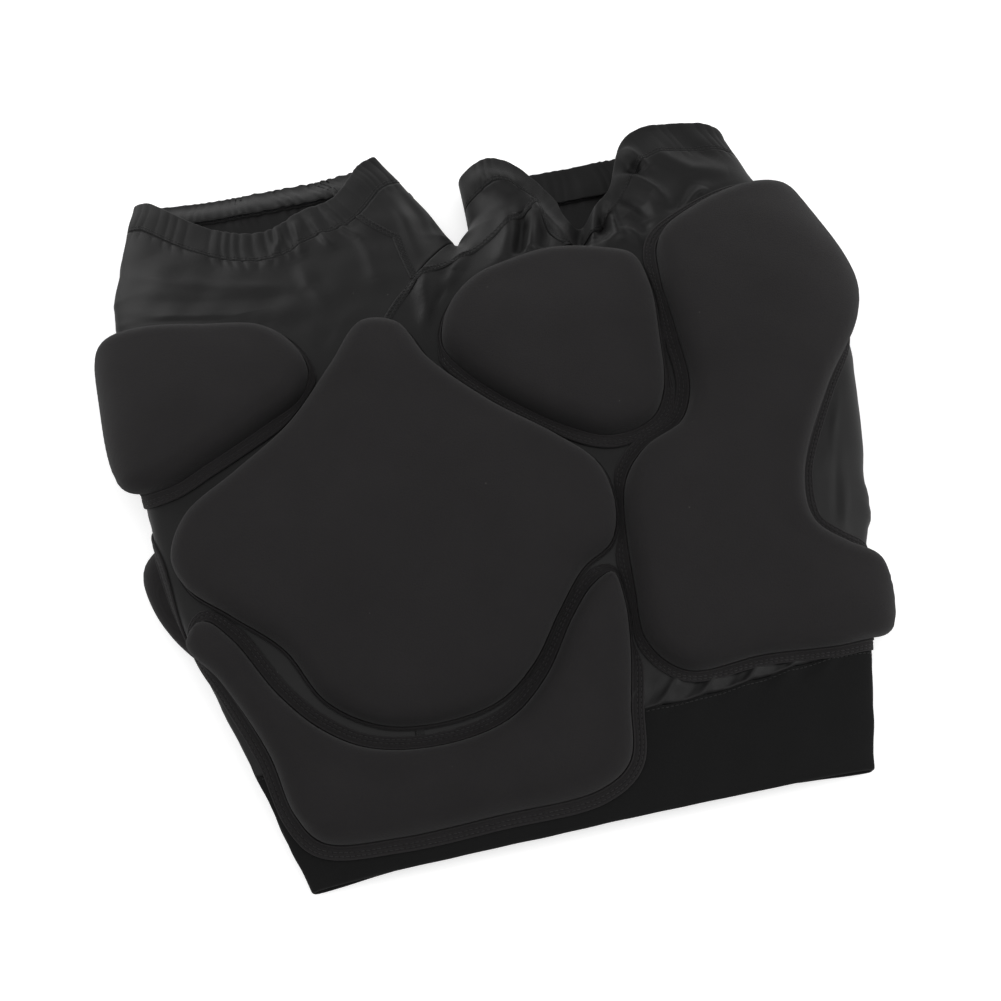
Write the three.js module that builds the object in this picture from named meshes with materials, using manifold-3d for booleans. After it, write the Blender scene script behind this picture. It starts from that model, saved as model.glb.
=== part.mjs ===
// Padded impact shorts for skiing and snowboarding, laid on a flat surface with the back side up.
// X runs to the right, Y from the waist to the legs and Z up. The back layer arches over the front
// layer, which lies on the surface, and six foam pads are sewn on to the outside: one over the
// seat, one over the tailbone, one behind each thigh and one over each hip. The left hip pad is
// folded under, between the front layer and the surface. Left and right are as seen from above
// with the waist nearest, not the wearer's. All sizes are in millimetres.

import * as THREE from "three";
import Module from "manifold-3d";

const wasm = await Module();
wasm.setup();

const { clamp, lerp, smoothstep } = THREE.MathUtils;

// ---- Driving dimensions -------------------------------------------------------------------------

// The body, measured flat across the two layers.
const WAIST_WIDTH = 330;
const WAIST_SEAM_WIDTH = 366;
const HIP_WIDTH = 449;
const CROTCH_WIDTH = 424;
const RISE = 397; // from the waistband's free edge to the crotch, along the middle
const LEG_LENGTH = 87; // from the crotch to the hem of the front layer
const LEFT_HEM_WIDTH = 155;
const RIGHT_HEM_WIDTH = 166;

// How high the laid garment stands, from the surface to the outside of the back layer.
const WAIST_HEIGHT = 19;
const HIP_HEIGHT = 70;
const HEM_HEIGHT = 31;

// The bands.
const WAISTBAND_HEIGHT = 68;
const WAIST_SETBACK = 12; // the front layer's free edge lies behind the back layer's
const CUFF_HEIGHT = 27;
const LEFT_HEM_DIP = 60; // the back layer's hem is pulled back from the front layer's hem
const RIGHT_HEM_DIP = 58;

// The materials' thicknesses.
const SHELL = 1.2;
const BAND_FABRIC = 0.9;
const WAIST_ELASTIC = 1.2;
const CUFF_ELASTIC = 0.8;
const FOAM = 13;
const PAD_FABRIC = 1.2;
const FLANGE = 9; // the sewn margin round each pad

// Clearances.
const SEAM_GAP = 0.4; // between two pieces that are sewn edge to edge
const LAYER_GAP = 0.4; // between the layers of a band
const PAD_GAP = 1; // under, inside and between the pads

// How far a straight edge may stray from the curved surface that it follows.
const TOLERANCE = 0.8;

const FABRIC_BLACK = new THREE.MeshStandardMaterial({ color: 0x1d1e1f, roughness: 0.55, metalness: 0 });
const COVER_BLACK = new THREE.MeshStandardMaterial({ color: 0x1b1a1b, roughness: 0.9, metalness: 0 });
const BAND_BLACK = new THREE.MeshStandardMaterial({ color: 0x0f0f10, roughness: 0.95, metalness: 0 });
const ELASTIC_BLACK = new THREE.MeshStandardMaterial({ color: 0x151516, roughness: 0.8, metalness: 0 });
const FOAM_GREY = new THREE.MeshStandardMaterial({ color: 0x2b2b2d, roughness: 1, metalness: 0 });

// ---- Derived places -----------------------------------------------------------------------------

const WAIST_Y = -207;
const SEAM_Y = WAIST_Y + WAISTBAND_HEIGHT;
const CROTCH = { x: 15, y: WAIST_Y + RISE, z: 18 };
const HEM_Y = CROTCH.y + LEG_LENGTH;
const PAD_STACK = FOAM + PAD_FABRIC + 2 * PAD_GAP;

// Pad patterns and seams are drawn for a hip of 449 and a rise of 397, and graded from there.
const gradeX = (x) => CROTCH.x + (x - CROTCH.x) * (HIP_WIDTH / 449);
const gradeY = (y) => WAIST_Y + (y - WAIST_Y) * (RISE / 397);
const graded = (knots) => knots.map(([y, x]) => [gradeY(y), gradeX(x)]);

// ---- Curves -------------------------------------------------------------------------------------

// A smooth curve through [place, value] knots that never overshoots them.
function curve(knots) {
  const slopes = knots.map((_, i) => knotSlope(knots, i));
  return (place) => {
    const at = clamp(place, knots[0][0], knots.at(-1)[0]);
    const i = Math.max(0, knots.findIndex(([p]) => p >= at) - 1);
    const [p0, v0] = knots[i];
    const [p1, v1] = knots[i + 1];
    const h = p1 - p0;
    const t = (at - p0) / h;
    const bend = t * t * (3 - 2 * t);
    const rise = t * (1 - t) * ((1 - t) * slopes[i] - t * slopes[i + 1]) * h;
    return v0 + (v1 - v0) * bend + rise;
  };
}

function knotSlope(knots, i) {
  const slope = (j) => (knots[j + 1][1] - knots[j][1]) / (knots[j + 1][0] - knots[j][0]);
  if (i === 0) return slope(0);
  if (i === knots.length - 1) return slope(i - 1);
  const before = slope(i - 1);
  const after = slope(i);
  return before * after > 0 ? (2 * before * after) / (before + after) : 0;
}

// Rises from 0 with an upright start and levels out at 1, as the shoulder of a soft fold does.
const shoulder = (t) => (1 - (1 - clamp(t, 0, 1)) ** 2.4) ** (1 / 2.4);

// Goes from 0 to 1 with its steps close together at the ends, where the layers fold over.
function crowdEnds(u) {
  return u < 0.5 ? 0.5 * crowdStart(2 * u) : 1 - 0.5 * crowdStart(2 - 2 * u);
}

const crowdStart = (u) => 1 - Math.cos((Math.PI / 2) * Math.abs(u) ** 1.35);

// ---- The outside of the laid garment -------------------------------------------------------------

const middle = curve([[WAIST_Y, 9], [gradeY(-60), 8.5], [gradeY(90), 15.5], [CROTCH.y, 6]]);
const width = curve([
  [WAIST_Y, WAIST_WIDTH], [SEAM_Y, WAIST_SEAM_WIDTH], [gradeY(20), HIP_WIDTH - 11],
  [gradeY(90), HIP_WIDTH], [CROTCH.y, CROTCH_WIDTH],
]);
const hemInner = { left: CROTCH.x - 40, right: CROTCH.x + 14 };
const hemOuter = {
  left: hemInner.left - LEFT_HEM_WIDTH,
  right: hemInner.right + RIGHT_HEM_WIDTH,
};
const outerLeg = {
  left: curve([[CROTCH.y, middle(CROTCH.y) - CROTCH_WIDTH / 2], [HEM_Y, hemOuter.left]]),
  right: curve([[CROTCH.y, middle(CROTCH.y) + CROTCH_WIDTH / 2], [HEM_Y, hemOuter.right]]),
};
const innerLeg = {
  left: curve([[CROTCH.y, CROTCH.x], [HEM_Y, hemInner.left]]),
  right: curve([[CROTCH.y, CROTCH.x], [CROTCH.y + 15, CROTCH.x + 11], [HEM_Y, hemInner.right]]),
};
const sign = { left: -1, right: 1 };

// The fold at the left or right side, where the back layer turns into the front layer.
function foldX(side, y) {
  if (y > CROTCH.y) return outerLeg[side](y);
  return middle(y) + (sign[side] * width(y)) / 2;
}

const crest = curve([
  [WAIST_Y, WAIST_HEIGHT], [SEAM_Y, 0.46 * HIP_HEIGHT], [gradeY(-90), 0.7 * HIP_HEIGHT],
  [gradeY(0), 0.95 * HIP_HEIGHT], [gradeY(80), HIP_HEIGHT], [gradeY(140), 0.9 * HIP_HEIGHT],
  [HEM_Y - LEFT_HEM_DIP, 1.45 * HEM_HEIGHT], [HEM_Y, HEM_HEIGHT],
]);
const foldZ = {
  left: curve([[WAIST_Y, 8], [gradeY(-120), 29], [gradeY(100), 33], [HEM_Y - CUFF_HEIGHT, 27], [HEM_Y, 15]]),
  right: curve([[WAIST_Y, 8], [gradeY(-120), 20], [gradeY(100), 24], [HEM_Y, 14]]),
};

// How far a place lies across the garment, from -1 at the left fold to 1 at the right one.
function across(x, y) {
  const left = foldX("left", y);
  const right = foldX("right", y);
  return clamp((2 * x - left - right) / (right - left), -1, 1);
}

// 0 along the inside of the legs and at the crotch, 1 away from them.
function legShare(x, y) {
  const reach = { x: 45, y: 70 };
  if (y <= CROTCH.y) {
    return shoulder(Math.hypot((x - CROTCH.x) / reach.x, (CROTCH.y - y) / reach.y));
  }
  const side = x > (innerLeg.left(y) + innerLeg.right(y)) / 2 ? "right" : "left";
  return shoulder((sign[side] * (x - innerLeg[side](y))) / reach.x);
}

function foldHeight(x, y) {
  return lerp(foldZ.left(y), foldZ.right(y), (across(x, y) + 1) / 2);
}

// The right leg lies crumpled, with one deep valley along it.
function valley(x, y) {
  const place = Math.exp(-(((x - CROTCH.x - 77) / 25) ** 2));
  return 0.42 * place * smoothstep(y, CROTCH.y - 50, CROTCH.y + 10);
}

// The height of the fold on the inside of a leg; the left leg lies on its hip pad.
function insideZ(x, y) {
  return CROTCH.z + (x < CROTCH.x ? 9 * smoothstep(y, CROTCH.y, CROTCH.y + 30) : 0);
}

function upperZ(x, y) {
  const fold = foldHeight(x, y);
  const arch = (1 - Math.abs(across(x, y)) ** 2.7) ** (1 / 2.7);
  const height = fold + (crest(y) - fold) * arch * (1 - valley(x, y));
  return lerp(insideZ(x, y), height, legShare(x, y));
}

// The front layer lies on the surface, but on the left it lies on the hip pad folded under it.
const FLAT_REACH = 1.09; // above 1, the layer lies flat until nearer its folds

function lowerZ(x, y) {
  const fold = foldHeight(x, y);
  const arch = (1 - Math.abs(across(x, y)) ** 3.5) ** (1 / 3.5);
  const along = smoothstep(y, WAIST_Y + 5, SEAM_Y) * (1 - smoothstep(y, HEM_Y - CUFF_HEIGHT, HEM_Y));
  const bed = PAD_STACK * along * (1 - smoothstep(x, CROTCH.x - 5, CROTCH.x + 35));
  const height = lerp(fold, bed, Math.min(1, FLAT_REACH * arch));
  return lerp(insideZ(x, y), height, legShare(x, y));
}

const layerZ = { upper: upperZ, lower: lowerZ };
const otherLayer = { upper: "lower", lower: "upper" };

// ---- Surfaces: each gives the point at (u, v) on the outside of the garment ------------------------

const seamBack = curve(graded([[-139, -79], [0, -63], [112, -47], [150, -20]]));
const GUSSET_Y = gradeY(150);
const GUSSET_SHARE = 0.77; // a leg's share, across each layer, from its outer fold to the gusset

// The middle line of the body and, past the crotch, the inside of a leg.
function innerX(side, y) {
  if (y < GUSSET_Y) return seamBack(y);
  if (y > CROTCH.y) return innerLeg[side](y);
  return lerp(seamBack(GUSSET_Y), CROTCH.x, (y - GUSSET_Y) / (CROTCH.y - GUSSET_Y));
}

const legX = (side, y, share) => lerp(foldX(side, y), innerX(side, y), share);

// A panel's share of the way from the side fold to the inside: all of it above the gusset.
const panelShare = (y) => lerp(1, GUSSET_SHARE, smoothstep(y, GUSSET_Y, GUSSET_Y + 14));

// The hem of one layer; share is 0 at the leg's outer fold and 1 at its inner fold.
function hemY(side, layer, share) {
  if (layer === "lower") return HEM_Y - (side === "right" ? 26 : 0);
  if (side === "left") return HEM_Y - LEFT_HEM_DIP * 4 * share * (1 - share);
  const dip = Math.exp(-(((share - 0.6) / 0.17) ** 2)) * smoothstep(share, 0, 0.1);
  return HEM_Y - 26 - RIGHT_HEM_DIP * dip * (1 - smoothstep(share, 0.9, 1));
}

// A back or front panel: u runs from the side fold to the middle seam. v runs from the waist to
// the top of the gusset at GUSSET_ROW and on to the cuff at 1.
const GUSSET_ROW = 0.7;

function panelSurface(side, ownLayer) {
  return (u, v) => {
    const layer = u < 0 ? otherLayer[ownLayer] : ownLayer;
    const inward = crowdStart(u);
    const end = hemY(side, layer, inward * GUSSET_SHARE) - CUFF_HEIGHT;
    const body = lerp(SEAM_Y, GUSSET_Y, v / GUSSET_ROW);
    const leg = lerp(GUSSET_Y, end, (v - GUSSET_ROW) / (1 - GUSSET_ROW));
    const y = v < GUSSET_ROW ? body : leg;
    const x = legX(side, y, inward * panelShare(y));
    return new THREE.Vector3(x, y, layerZ[layer](x, y));
  };
}

// Half of the gusset: u runs from the back seam (0) round the inside of the leg (1) to the front
// seam (2), and v from the crotch to the cuff.
function gussetSurface(side) {
  return (u, v) => {
    const layer = u < 1 ? "upper" : "lower";
    const inward = 1 - crowdStart(u - 1);
    const end = hemY(side, layer, lerp(GUSSET_SHARE, 1, inward)) - CUFF_HEIGHT;
    const outerY = lerp(GUSSET_Y, end, v);
    const innerY = lerp(CROTCH.y, end, v);
    const outer = new THREE.Vector2(legX(side, outerY, panelShare(outerY)), outerY);
    const inner = new THREE.Vector2(innerX(side, innerY), innerY);
    const { x, y } = outer.lerp(inner, inward);
    return new THREE.Vector3(x, y, layerZ[layer](x, y));
  };
}

// Once round the waist: u runs from the left fold over the back (0 to 1) and round the front
// (1 to 2), and v up from the free edge in millimetres.
function waistSurface(u, v) {
  const turn = ((u % 2) + 2) % 2;
  const layer = turn < 1 ? "upper" : "lower";
  const share = turn < 1 ? crowdEnds(turn) : 1 - crowdEnds(turn - 1);
  const setback = layer === "lower" ? WAIST_SETBACK * Math.sin(Math.PI * share) : 0;
  const y = lerp(WAIST_Y + setback, SEAM_Y, v / WAISTBAND_HEIGHT);
  const x = lerp(foldX("left", y), foldX("right", y), share);
  return new THREE.Vector3(x, y, layerZ[layer](x, y));
}

// Once round a cuff: u is the share across the leg, out over the back (0 to 1) and back under the
// front (1 to 2), and v runs from the leg's edge to the hem in millimetres.
function cuffSurface(side) {
  return (u, v) => {
    const turn = ((u % 2) + 2) % 2;
    const layer = turn < 1 ? "upper" : "lower";
    const share = turn < 1 ? turn : 2 - turn;
    const y = hemY(side, layer, share) - CUFF_HEIGHT + v;
    const x = legX(side, y, share);
    return new THREE.Vector3(x, y, layerZ[layer](x, y));
  };
}

// The unit normal of a surface, found from small steps to each side.
function normalAt(surface, u, v, stepU, stepV) {
  const alongU = surface(u + stepU, v).sub(surface(u - stepU, v));
  const alongV = surface(u, v + stepV).sub(surface(u, v - stepV));
  return alongU.cross(alongV).normalize();
}

// ---- Solids made from surfaces --------------------------------------------------------------------

// Sweeps a closed profile of [v, depth] points along u. Depth is measured in from the outside,
// which faces up (1) or down (-1) at the probe's [u, v].
function ribbon(surface, stops, profile, { closed, stepV, probe, facing }) {
  const outward = facing * Math.sign(normalAt(surface, ...probe, 0.002, stepV).z);
  const points = [];
  for (const u of stops) {
    for (const [v, depth] of profile) {
      const normal = normalAt(surface, u, v, 0.002, stepV).multiplyScalar(-outward * depth);
      points.push(surface(u, v).add(normal));
    }
  }
  const n = profile.length;
  const rows = closed ? stops.length : stops.length - 1;
  const triangles = [];
  for (let i = 0; i < rows; i += 1) {
    for (let k = 0; k < n; k += 1) {
      const a = i * n + k;
      const b = i * n + ((k + 1) % n);
      const c = ((i + 1) % stops.length) * n + k;
      const d = ((i + 1) % stops.length) * n + ((k + 1) % n);
      const forward = profile[(k + 1) % n][0] >= profile[k][0];
      triangles.push(...(forward ? [[a, c, b], [b, c, d]] : [[a, c, d], [a, d, b]]));
    }
  }
  if (!closed) {
    const last = (stops.length - 1) * n;
    for (const [a, b, c] of stripCaps(n)) {
      triangles.push([a, b, c], [last + a, last + c, last + b]);
    }
  }
  return outwardFacing(points, triangles);
}

// Triangles that close the end of a profile whose points run out along one face and back.
function stripCaps(n) {
  const caps = [];
  for (let k = 0; k < n / 2 - 1; k += 1) {
    caps.push([k, k + 1, n - 1 - k], [k + 1, n - 2 - k, n - 1 - k]);
  }
  return caps;
}

function outwardFacing(points, triangles) {
  let volume = 0;
  for (const [a, b, c] of triangles) {
    volume += points[a].dot(points[b].clone().cross(points[c])) / 6;
  }
  const turned = volume < 0 ? triangles.map(([a, b, c]) => [a, c, b]) : triangles;
  return { points, triangles: turned };
}

const steps = (from, to, count) => Array.from({ length: count + 1 }, (_, i) => lerp(from, to, i / count));

// A profile that runs along the outside and back along the inside.
function sheetProfile(places, thickness, start = 0) {
  const outside = places.map((v) => [v, start]);
  const inside = places.map((v) => [v, start + thickness]).reverse();
  return [...outside, ...inside];
}

// A band's sleeve, folded at the free edge, and the elastic inside it.
function sleeveProfile(free, sewn, elastic) {
  const total = 2 * (BAND_FABRIC + LAYER_GAP) + elastic;
  const [half, near, nearest, fold] = [0.5, 0.1, 0.07, 0.03].map((share) => lerp(free, sewn, share));
  const outside = [[sewn, 0], [half, 0], [fold, 0], [free, 0.35 * total]];
  const inside = [[sewn, BAND_FABRIC], [half, BAND_FABRIC], [near, BAND_FABRIC], [nearest, BAND_FABRIC]];
  const back = (profile) => profile.map(([v, depth]) => [v, total - depth]).reverse();
  return [...outside, ...back(outside), ...inside.map(([v, d]) => [v, total - d]), ...inside.reverse()];
}

function elasticProfile(free, sewn, elastic) {
  const start = BAND_FABRIC + LAYER_GAP;
  return sheetProfile([sewn, lerp(free, sewn, 0.5), lerp(free, sewn, 0.1)], elastic, start);
}

// ---- Wrapping flat patterns round the garment -------------------------------------------------------

// The outside of one half of the garment at a station y, as [distance, x, z] from the middle:
// over the back layer to the side fold, and then inward along the front layer.
const FLAT_MIDDLE = 45; // within this of the crotch line a pattern lies without stretching
const UNDER_REACH = 75; // how far past the crotch line the lower layer is followed

function halfSection(side, y) {
  const start = CROTCH.x + sign[side] * FLAT_MIDDLE;
  const finish = CROTCH.x - sign[side] * UNDER_REACH;
  const end = foldX(side, y);
  const shares = steps(0, 1, 60).map((s) => Math.sin((s * Math.PI) / 2));
  const over = shares.map((s) => lerp(start, end, s)).map((x) => [x, upperZ(x, y)]);
  const under = shares.map((s) => lerp(finish, end, s)).map((x) => [x, lowerZ(x, y)]).reverse();
  const path = [...over, ...under.slice(1)];
  let length = 0;
  return path.map(([x, z], i) => {
    if (i > 0) length += Math.hypot(x - path[i - 1][0], z - path[i - 1][1]);
    return [length, x, z];
  });
}

function alongSection(section, distance) {
  const i = clamp(section.findIndex(([length]) => length >= distance), 1, section.length - 1);
  const [l0, x0, z0] = section[i - 1];
  const [l1, x1, z1] = section[i];
  const t = clamp((distance - l0) / (l1 - l0), 0, 1);
  return [lerp(x0, x1, t), lerp(z0, z1, t)];
}

// A chart of the garment's outside: its points and normals on a grid of pattern places.
const CHART = { step: 4, qMin: -460, columns: 215, yMin: WAIST_Y - 12, yMax: HEM_Y + 8 };
CHART.rows = Math.ceil((CHART.yMax - CHART.yMin) / CHART.step) + 1;

function chartRow(row) {
  const y = CHART.yMin + row * CHART.step;
  const halves = { left: halfSection("left", y), right: halfSection("right", y) };
  return Array.from({ length: CHART.columns }, (_, column) => {
    const q = CHART.qMin + column * CHART.step;
    const fromMiddle = Math.abs(q - CROTCH.x) - FLAT_MIDDLE;
    if (fromMiddle <= 0) return new THREE.Vector3(q, y, upperZ(q, y));
    const [x, z] = alongSection(halves[q > CROTCH.x ? "right" : "left"], fromMiddle);
    return new THREE.Vector3(x, y, z);
  });
}

const chartPoints = Array.from({ length: CHART.rows }, (_, row) => chartRow(row));
const chartNormals = smoothed(smoothed(chartPoints.map((points, row) => points.map((_, column) => {
  const near = (grid, i, j) => grid[clamp(i, 0, CHART.rows - 1)][clamp(j, 0, CHART.columns - 1)];
  const alongQ = near(chartPoints, row, column + 1).clone().sub(near(chartPoints, row, column - 1));
  const alongY = near(chartPoints, row + 1, column).clone().sub(near(chartPoints, row - 1, column));
  return alongQ.cross(alongY).normalize();
}))));

// Each vector of a grid becomes a weighted mean of itself and its neighbours.
function smoothed(grid) {
  return grid.map((vectors, i) => vectors.map((vector, j) => {
    const sum = vector.clone().multiplyScalar(2);
    for (const near of [grid[i - 1]?.[j], grid[i + 1]?.[j], vectors[j - 1], vectors[j + 1]]) {
      sum.add(near ?? vector);
    }
    return sum.normalize();
  }));
}

// A flat pattern point (q across, y along, d proud of the shell) goes to its place on the garment.
function wrap(point) {
  const column = clamp((point.x - CHART.qMin) / CHART.step, 0, CHART.columns - 1.001);
  const row = clamp((point.y - CHART.yMin) / CHART.step, 0, CHART.rows - 1.001);
  const [i, j] = [Math.floor(row), Math.floor(column)];
  const blend = (grid) => {
    const low = grid[i][j].clone().lerp(grid[i][j + 1], column - j);
    return low.lerp(grid[i + 1][j].clone().lerp(grid[i + 1][j + 1], column - j), row - i);
  };
  return blend(chartPoints).addScaledVector(blend(chartNormals).normalize(), point.z);
}

// Splits every edge whose middle, once wrapped, would stray from the curved surface.
function refine(flat) {
  const points = [...flat.points];
  let triangles = flat.triangles;
  for (let pass = 0; pass < 7; pass += 1) {
    const middles = new Map();
    const place = points.map(wrap);
    const middleOf = (a, b) => {
      const key = a < b ? `${a},${b}` : `${b},${a}`;
      if (!middles.has(key)) middles.set(key, splitEdge(points, place, a, b));
      return middles.get(key);
    };
    const next = [];
    for (const triangle of triangles) next.push(...splitTriangle(triangle, middleOf));
    if (next.length === triangles.length) break;
    triangles = next;
  }
  return { points, triangles };
}

function splitEdge(points, place, a, b) {
  for (const share of [0.5, 0.25, 0.75]) {
    const straight = place[a].clone().lerp(place[b], share);
    const curved = wrap(points[a].clone().lerp(points[b], share));
    if (straight.distanceTo(curved) > TOLERANCE) {
      points.push(points[a].clone().lerp(points[b], 0.5));
      return points.length - 1;
    }
  }
  return -1;
}

function splitTriangle([a, b, c], middleOf) {
  const [ab, bc, ca] = [middleOf(a, b), middleOf(b, c), middleOf(c, a)];
  const count = [ab, bc, ca].filter((m) => m >= 0).length;
  if (count === 0) return [[a, b, c]];
  if (count === 3) return [[a, ab, ca], [ab, b, bc], [ca, bc, c], [ab, bc, ca]];
  if (count === 1) {
    if (ab >= 0) return [[a, ab, c], [ab, b, c]];
    if (bc >= 0) return [[a, b, bc], [a, bc, c]];
    return [[a, b, ca], [ca, b, c]];
  }
  if (ab < 0) return [[a, b, bc], [a, bc, ca], [ca, bc, c]];
  if (bc < 0) return [[a, ab, ca], [ab, b, c], [ab, c, ca]];
  return [[a, ab, c], [ab, bc, c], [ab, b, bc]];
}

// ---- Pad patterns -----------------------------------------------------------------------------------

// Each outline is a closed smooth curve through its points, anticlockwise or clockwise.
const PATTERNS = {
  seat_pad: [
    [-60, 117], [-38, 111], [-25, 82], [4, 46], [38, 15], [57, -7], [61, -32], [54, -53],
    [34, -65], [14, -87], [-5, -110], [-30, -127], [-66, -132], [-100, -126], [-127, -107],
    [-144, -74], [-170, -47], [-191, -24], [-196, -3], [-184, 19], [-151, 37], [-116, 58], [-85, 90],
  ],
  tailbone_pad: [
    [-195, -54], [-187, -45], [-173, -60], [-153, -98], [-133, -122], [-108, -138], [-68, -145],
    [-28, -139], [-1, -120], [22, -91], [37, -76], [50, -71], [53, -88], [50, -115], [43, -145],
    [35, -176], [15, -188], [-44, -190], [-102, -190], [-144, -183], [-156, -165], [-164, -128],
    [-181, -83],
  ],
  left_thigh_pad: [
    [-212, 158], [-187, 154], [-150, 142], [-118, 131], [-102, 113], [-97, 94], [-105, 77],
    [-128, 65], [-166, 50], [-192, 43], [-214, 50], [-226, 76], [-228, 110], [-225, 142],
  ],
  right_thigh_pad: [
    [-14, 90], [-12, 104], [-2, 121], [14, 134], [36, 141], [62, 145], [95, 138], [114, 128],
    [118, 105], [114, 68], [107, 32], [95, 16], [70, 11], [46, 22], [16, 47], [-4, 70],
  ],
  right_hip_pad: [
    [134, 142], [160, 161], [204, 179], [232, 181], [246, 161], [257, 114], [240, 68], [205, 18],
    [176, -34], [174, -62], [190, -76], [206, -84], [210, -106], [202, -127], [180, -134],
    [125, -132], [80, -132], [61, -112], [61, -84], [70, -22], [86, -3], [112, 10], [124, 32],
    [126, 70], [127, 112],
  ],
};

// The left hip pad's pattern is the right one's, mirrored across the garment's slanted middle line.
const MIRROR = { at: new THREE.Vector2(-73, -10), along: new THREE.Vector2(0.08, 1).normalize() };

function mirrored([x, y]) {
  const offset = new THREE.Vector2(x, y).sub(MIRROR.at);
  const kept = MIRROR.along.clone().multiplyScalar(2 * offset.dot(MIRROR.along));
  const place = kept.sub(offset).add(MIRROR.at);
  return [place.x, place.y];
}

PATTERNS.left_hip_pad = PATTERNS.right_hip_pad.map(mirrored);

// A pattern's outline as evenly spaced points, anticlockwise.
function outlineOf(pattern) {
  const knots = pattern.map(([x, y]) => new THREE.Vector3(gradeX(x), gradeY(y), 0));
  const smoothCurve = new THREE.CatmullRomCurve3(knots, true, "centripetal");
  const count = Math.round(smoothCurve.getLength() / 25);
  const points = smoothCurve.getSpacedPoints(count).slice(0, count);
  const outline = points.map(({ x, y }) => new THREE.Vector2(x, y));
  return THREE.ShapeUtils.area(outline) < 0 ? outline.reverse() : outline;
}

// Moves an anticlockwise outline out by a distance, or in where it is negative.
function offsetOutline(outline, distance) {
  return outline.map((point, i) => {
    const before = outline.at(i - 1);
    const after = outline[(i + 1) % outline.length];
    const first = point.clone().sub(before).normalize();
    const second = after.clone().sub(point).normalize();
    const out = new THREE.Vector2(first.y + second.y, -first.x - second.x).normalize();
    const stretch = 1 / Math.max(0.5, new THREE.Vector2(first.y, -first.x).dot(out));
    return point.clone().addScaledVector(out, distance * stretch);
  });
}

// A flat solid through rings of [offset, height] round an outline, from the bottom up.
function stack(outline, rings) {
  const points = [];
  for (const [offset, height] of rings) {
    for (const { x, y } of offsetOutline(outline, offset)) points.push(new THREE.Vector3(x, y, height));
  }
  const n = outline.length;
  const triangles = [];
  for (let ring = 0; ring < rings.length - 1; ring += 1) {
    for (let i = 0; i < n; i += 1) {
      const a = ring * n + i;
      const b = ring * n + ((i + 1) % n);
      triangles.push([a, b, b + n], [a, b + n, a + n]);
    }
  }
  const top = (rings.length - 1) * n;
  const lid = (offset) => THREE.ShapeUtils.triangulateShape(offsetOutline(outline, offset), []);
  for (const [a, b, c] of lid(rings[0][0])) triangles.push([a, c, b]);
  for (const [a, b, c] of lid(rings.at(-1)[0])) triangles.push([top + a, top + b, top + c]);
  return { points, triangles };
}

function toSolid({ points, triangles }) {
  const vertProperties = new Float32Array(points.flatMap(({ x, y, z }) => [x, y, z]));
  const triVerts = new Uint32Array(triangles.flat());
  return new wasm.Manifold(new wasm.Mesh({ numProp: 3, vertProperties, triVerts }));
}

function fromSolid(solid) {
  const { vertProperties, triVerts } = solid.getMesh();
  const points = [];
  for (let i = 0; i < vertProperties.length; i += 3) {
    points.push(new THREE.Vector3(vertProperties[i], vertProperties[i + 1], vertProperties[i + 2]));
  }
  const triangles = [];
  for (let i = 0; i < triVerts.length; i += 3) triangles.push([...triVerts.slice(i, i + 3)]);
  return { points, triangles };
}

// The rounded side of a pad, as [how far in, share of the height] from the bottom up.
const PAD_SIDE = [[0, 0], [0, 0.5], [2, 0.85], [6, 1]];

// The pad's rounded shape, grown by a distance and standing on a height.
function padShape(outline, bottom, grow) {
  const top = PAD_GAP + FOAM + grow;
  return stack(outline, PAD_SIDE.map(([inward, share]) => [grow - inward, lerp(bottom, top, share)]));
}

const wall = (outline, grow) => toSolid(stack(outline, [[grow, -PAD_STACK], [grow, 3 * PAD_STACK]]));

function padFoam(outline) {
  return refine(padShape(outline, PAD_GAP, 0));
}

// The cover: a rounded cap over the foam with a flat margin, cut back where other pads lie.
function padCover(name, outlines) {
  const outline = outlines[name];
  const names = Object.keys(outlines);
  let margin = toSolid(stack(outline, [[FLANGE, PAD_GAP], [FLANGE, PAD_GAP + PAD_FABRIC]]));
  for (const other of names.filter((each) => each !== name)) {
    const first = names.indexOf(other) < names.indexOf(name);
    const reach = first ? FLANGE + PAD_GAP : 2 * PAD_GAP + PAD_FABRIC;
    margin = margin.subtract(wall(outlines[other], reach));
  }
  const cap = toSolid(padShape(outline, PAD_GAP, PAD_GAP + PAD_FABRIC));
  const hollow = toSolid(padShape(outline, -PAD_GAP, PAD_GAP));
  return refine(fromSolid(margin.add(cap).subtract(hollow)));
}

// ---- The assembly -----------------------------------------------------------------------------------

const shorts = new THREE.Group();
const FACING = { upper: 1, lower: -1 };
const AROUND = { closed: true, stepV: 1, probe: [0.5, 10], facing: FACING.upper };

function addPiece(name, { points, triangles }, material) {
  const geometry = new THREE.BufferGeometry();
  const positions = points.flatMap(({ x, y, z }) => [x, y, z]);
  geometry.setAttribute("position", new THREE.Float32BufferAttribute(positions, 3));
  geometry.setIndex(triangles.flat());
  const mesh = new THREE.Mesh(geometry, material);
  mesh.name = name;
  shorts.add(mesh);
}

function addPads() {
  const outlines = {};
  for (const [name, pattern] of Object.entries(PATTERNS)) outlines[name] = outlineOf(pattern);
  for (const name of Object.keys(outlines)) {
    const cover = padCover(name, outlines);
    const foam = padFoam(outlines[name]);
    addPiece(`${name}_cover`, { ...cover, points: cover.points.map(wrap) }, COVER_BLACK);
    addPiece(`${name}_foam`, { ...foam, points: foam.points.map(wrap) }, FOAM_GREY);
  }
}

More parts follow.
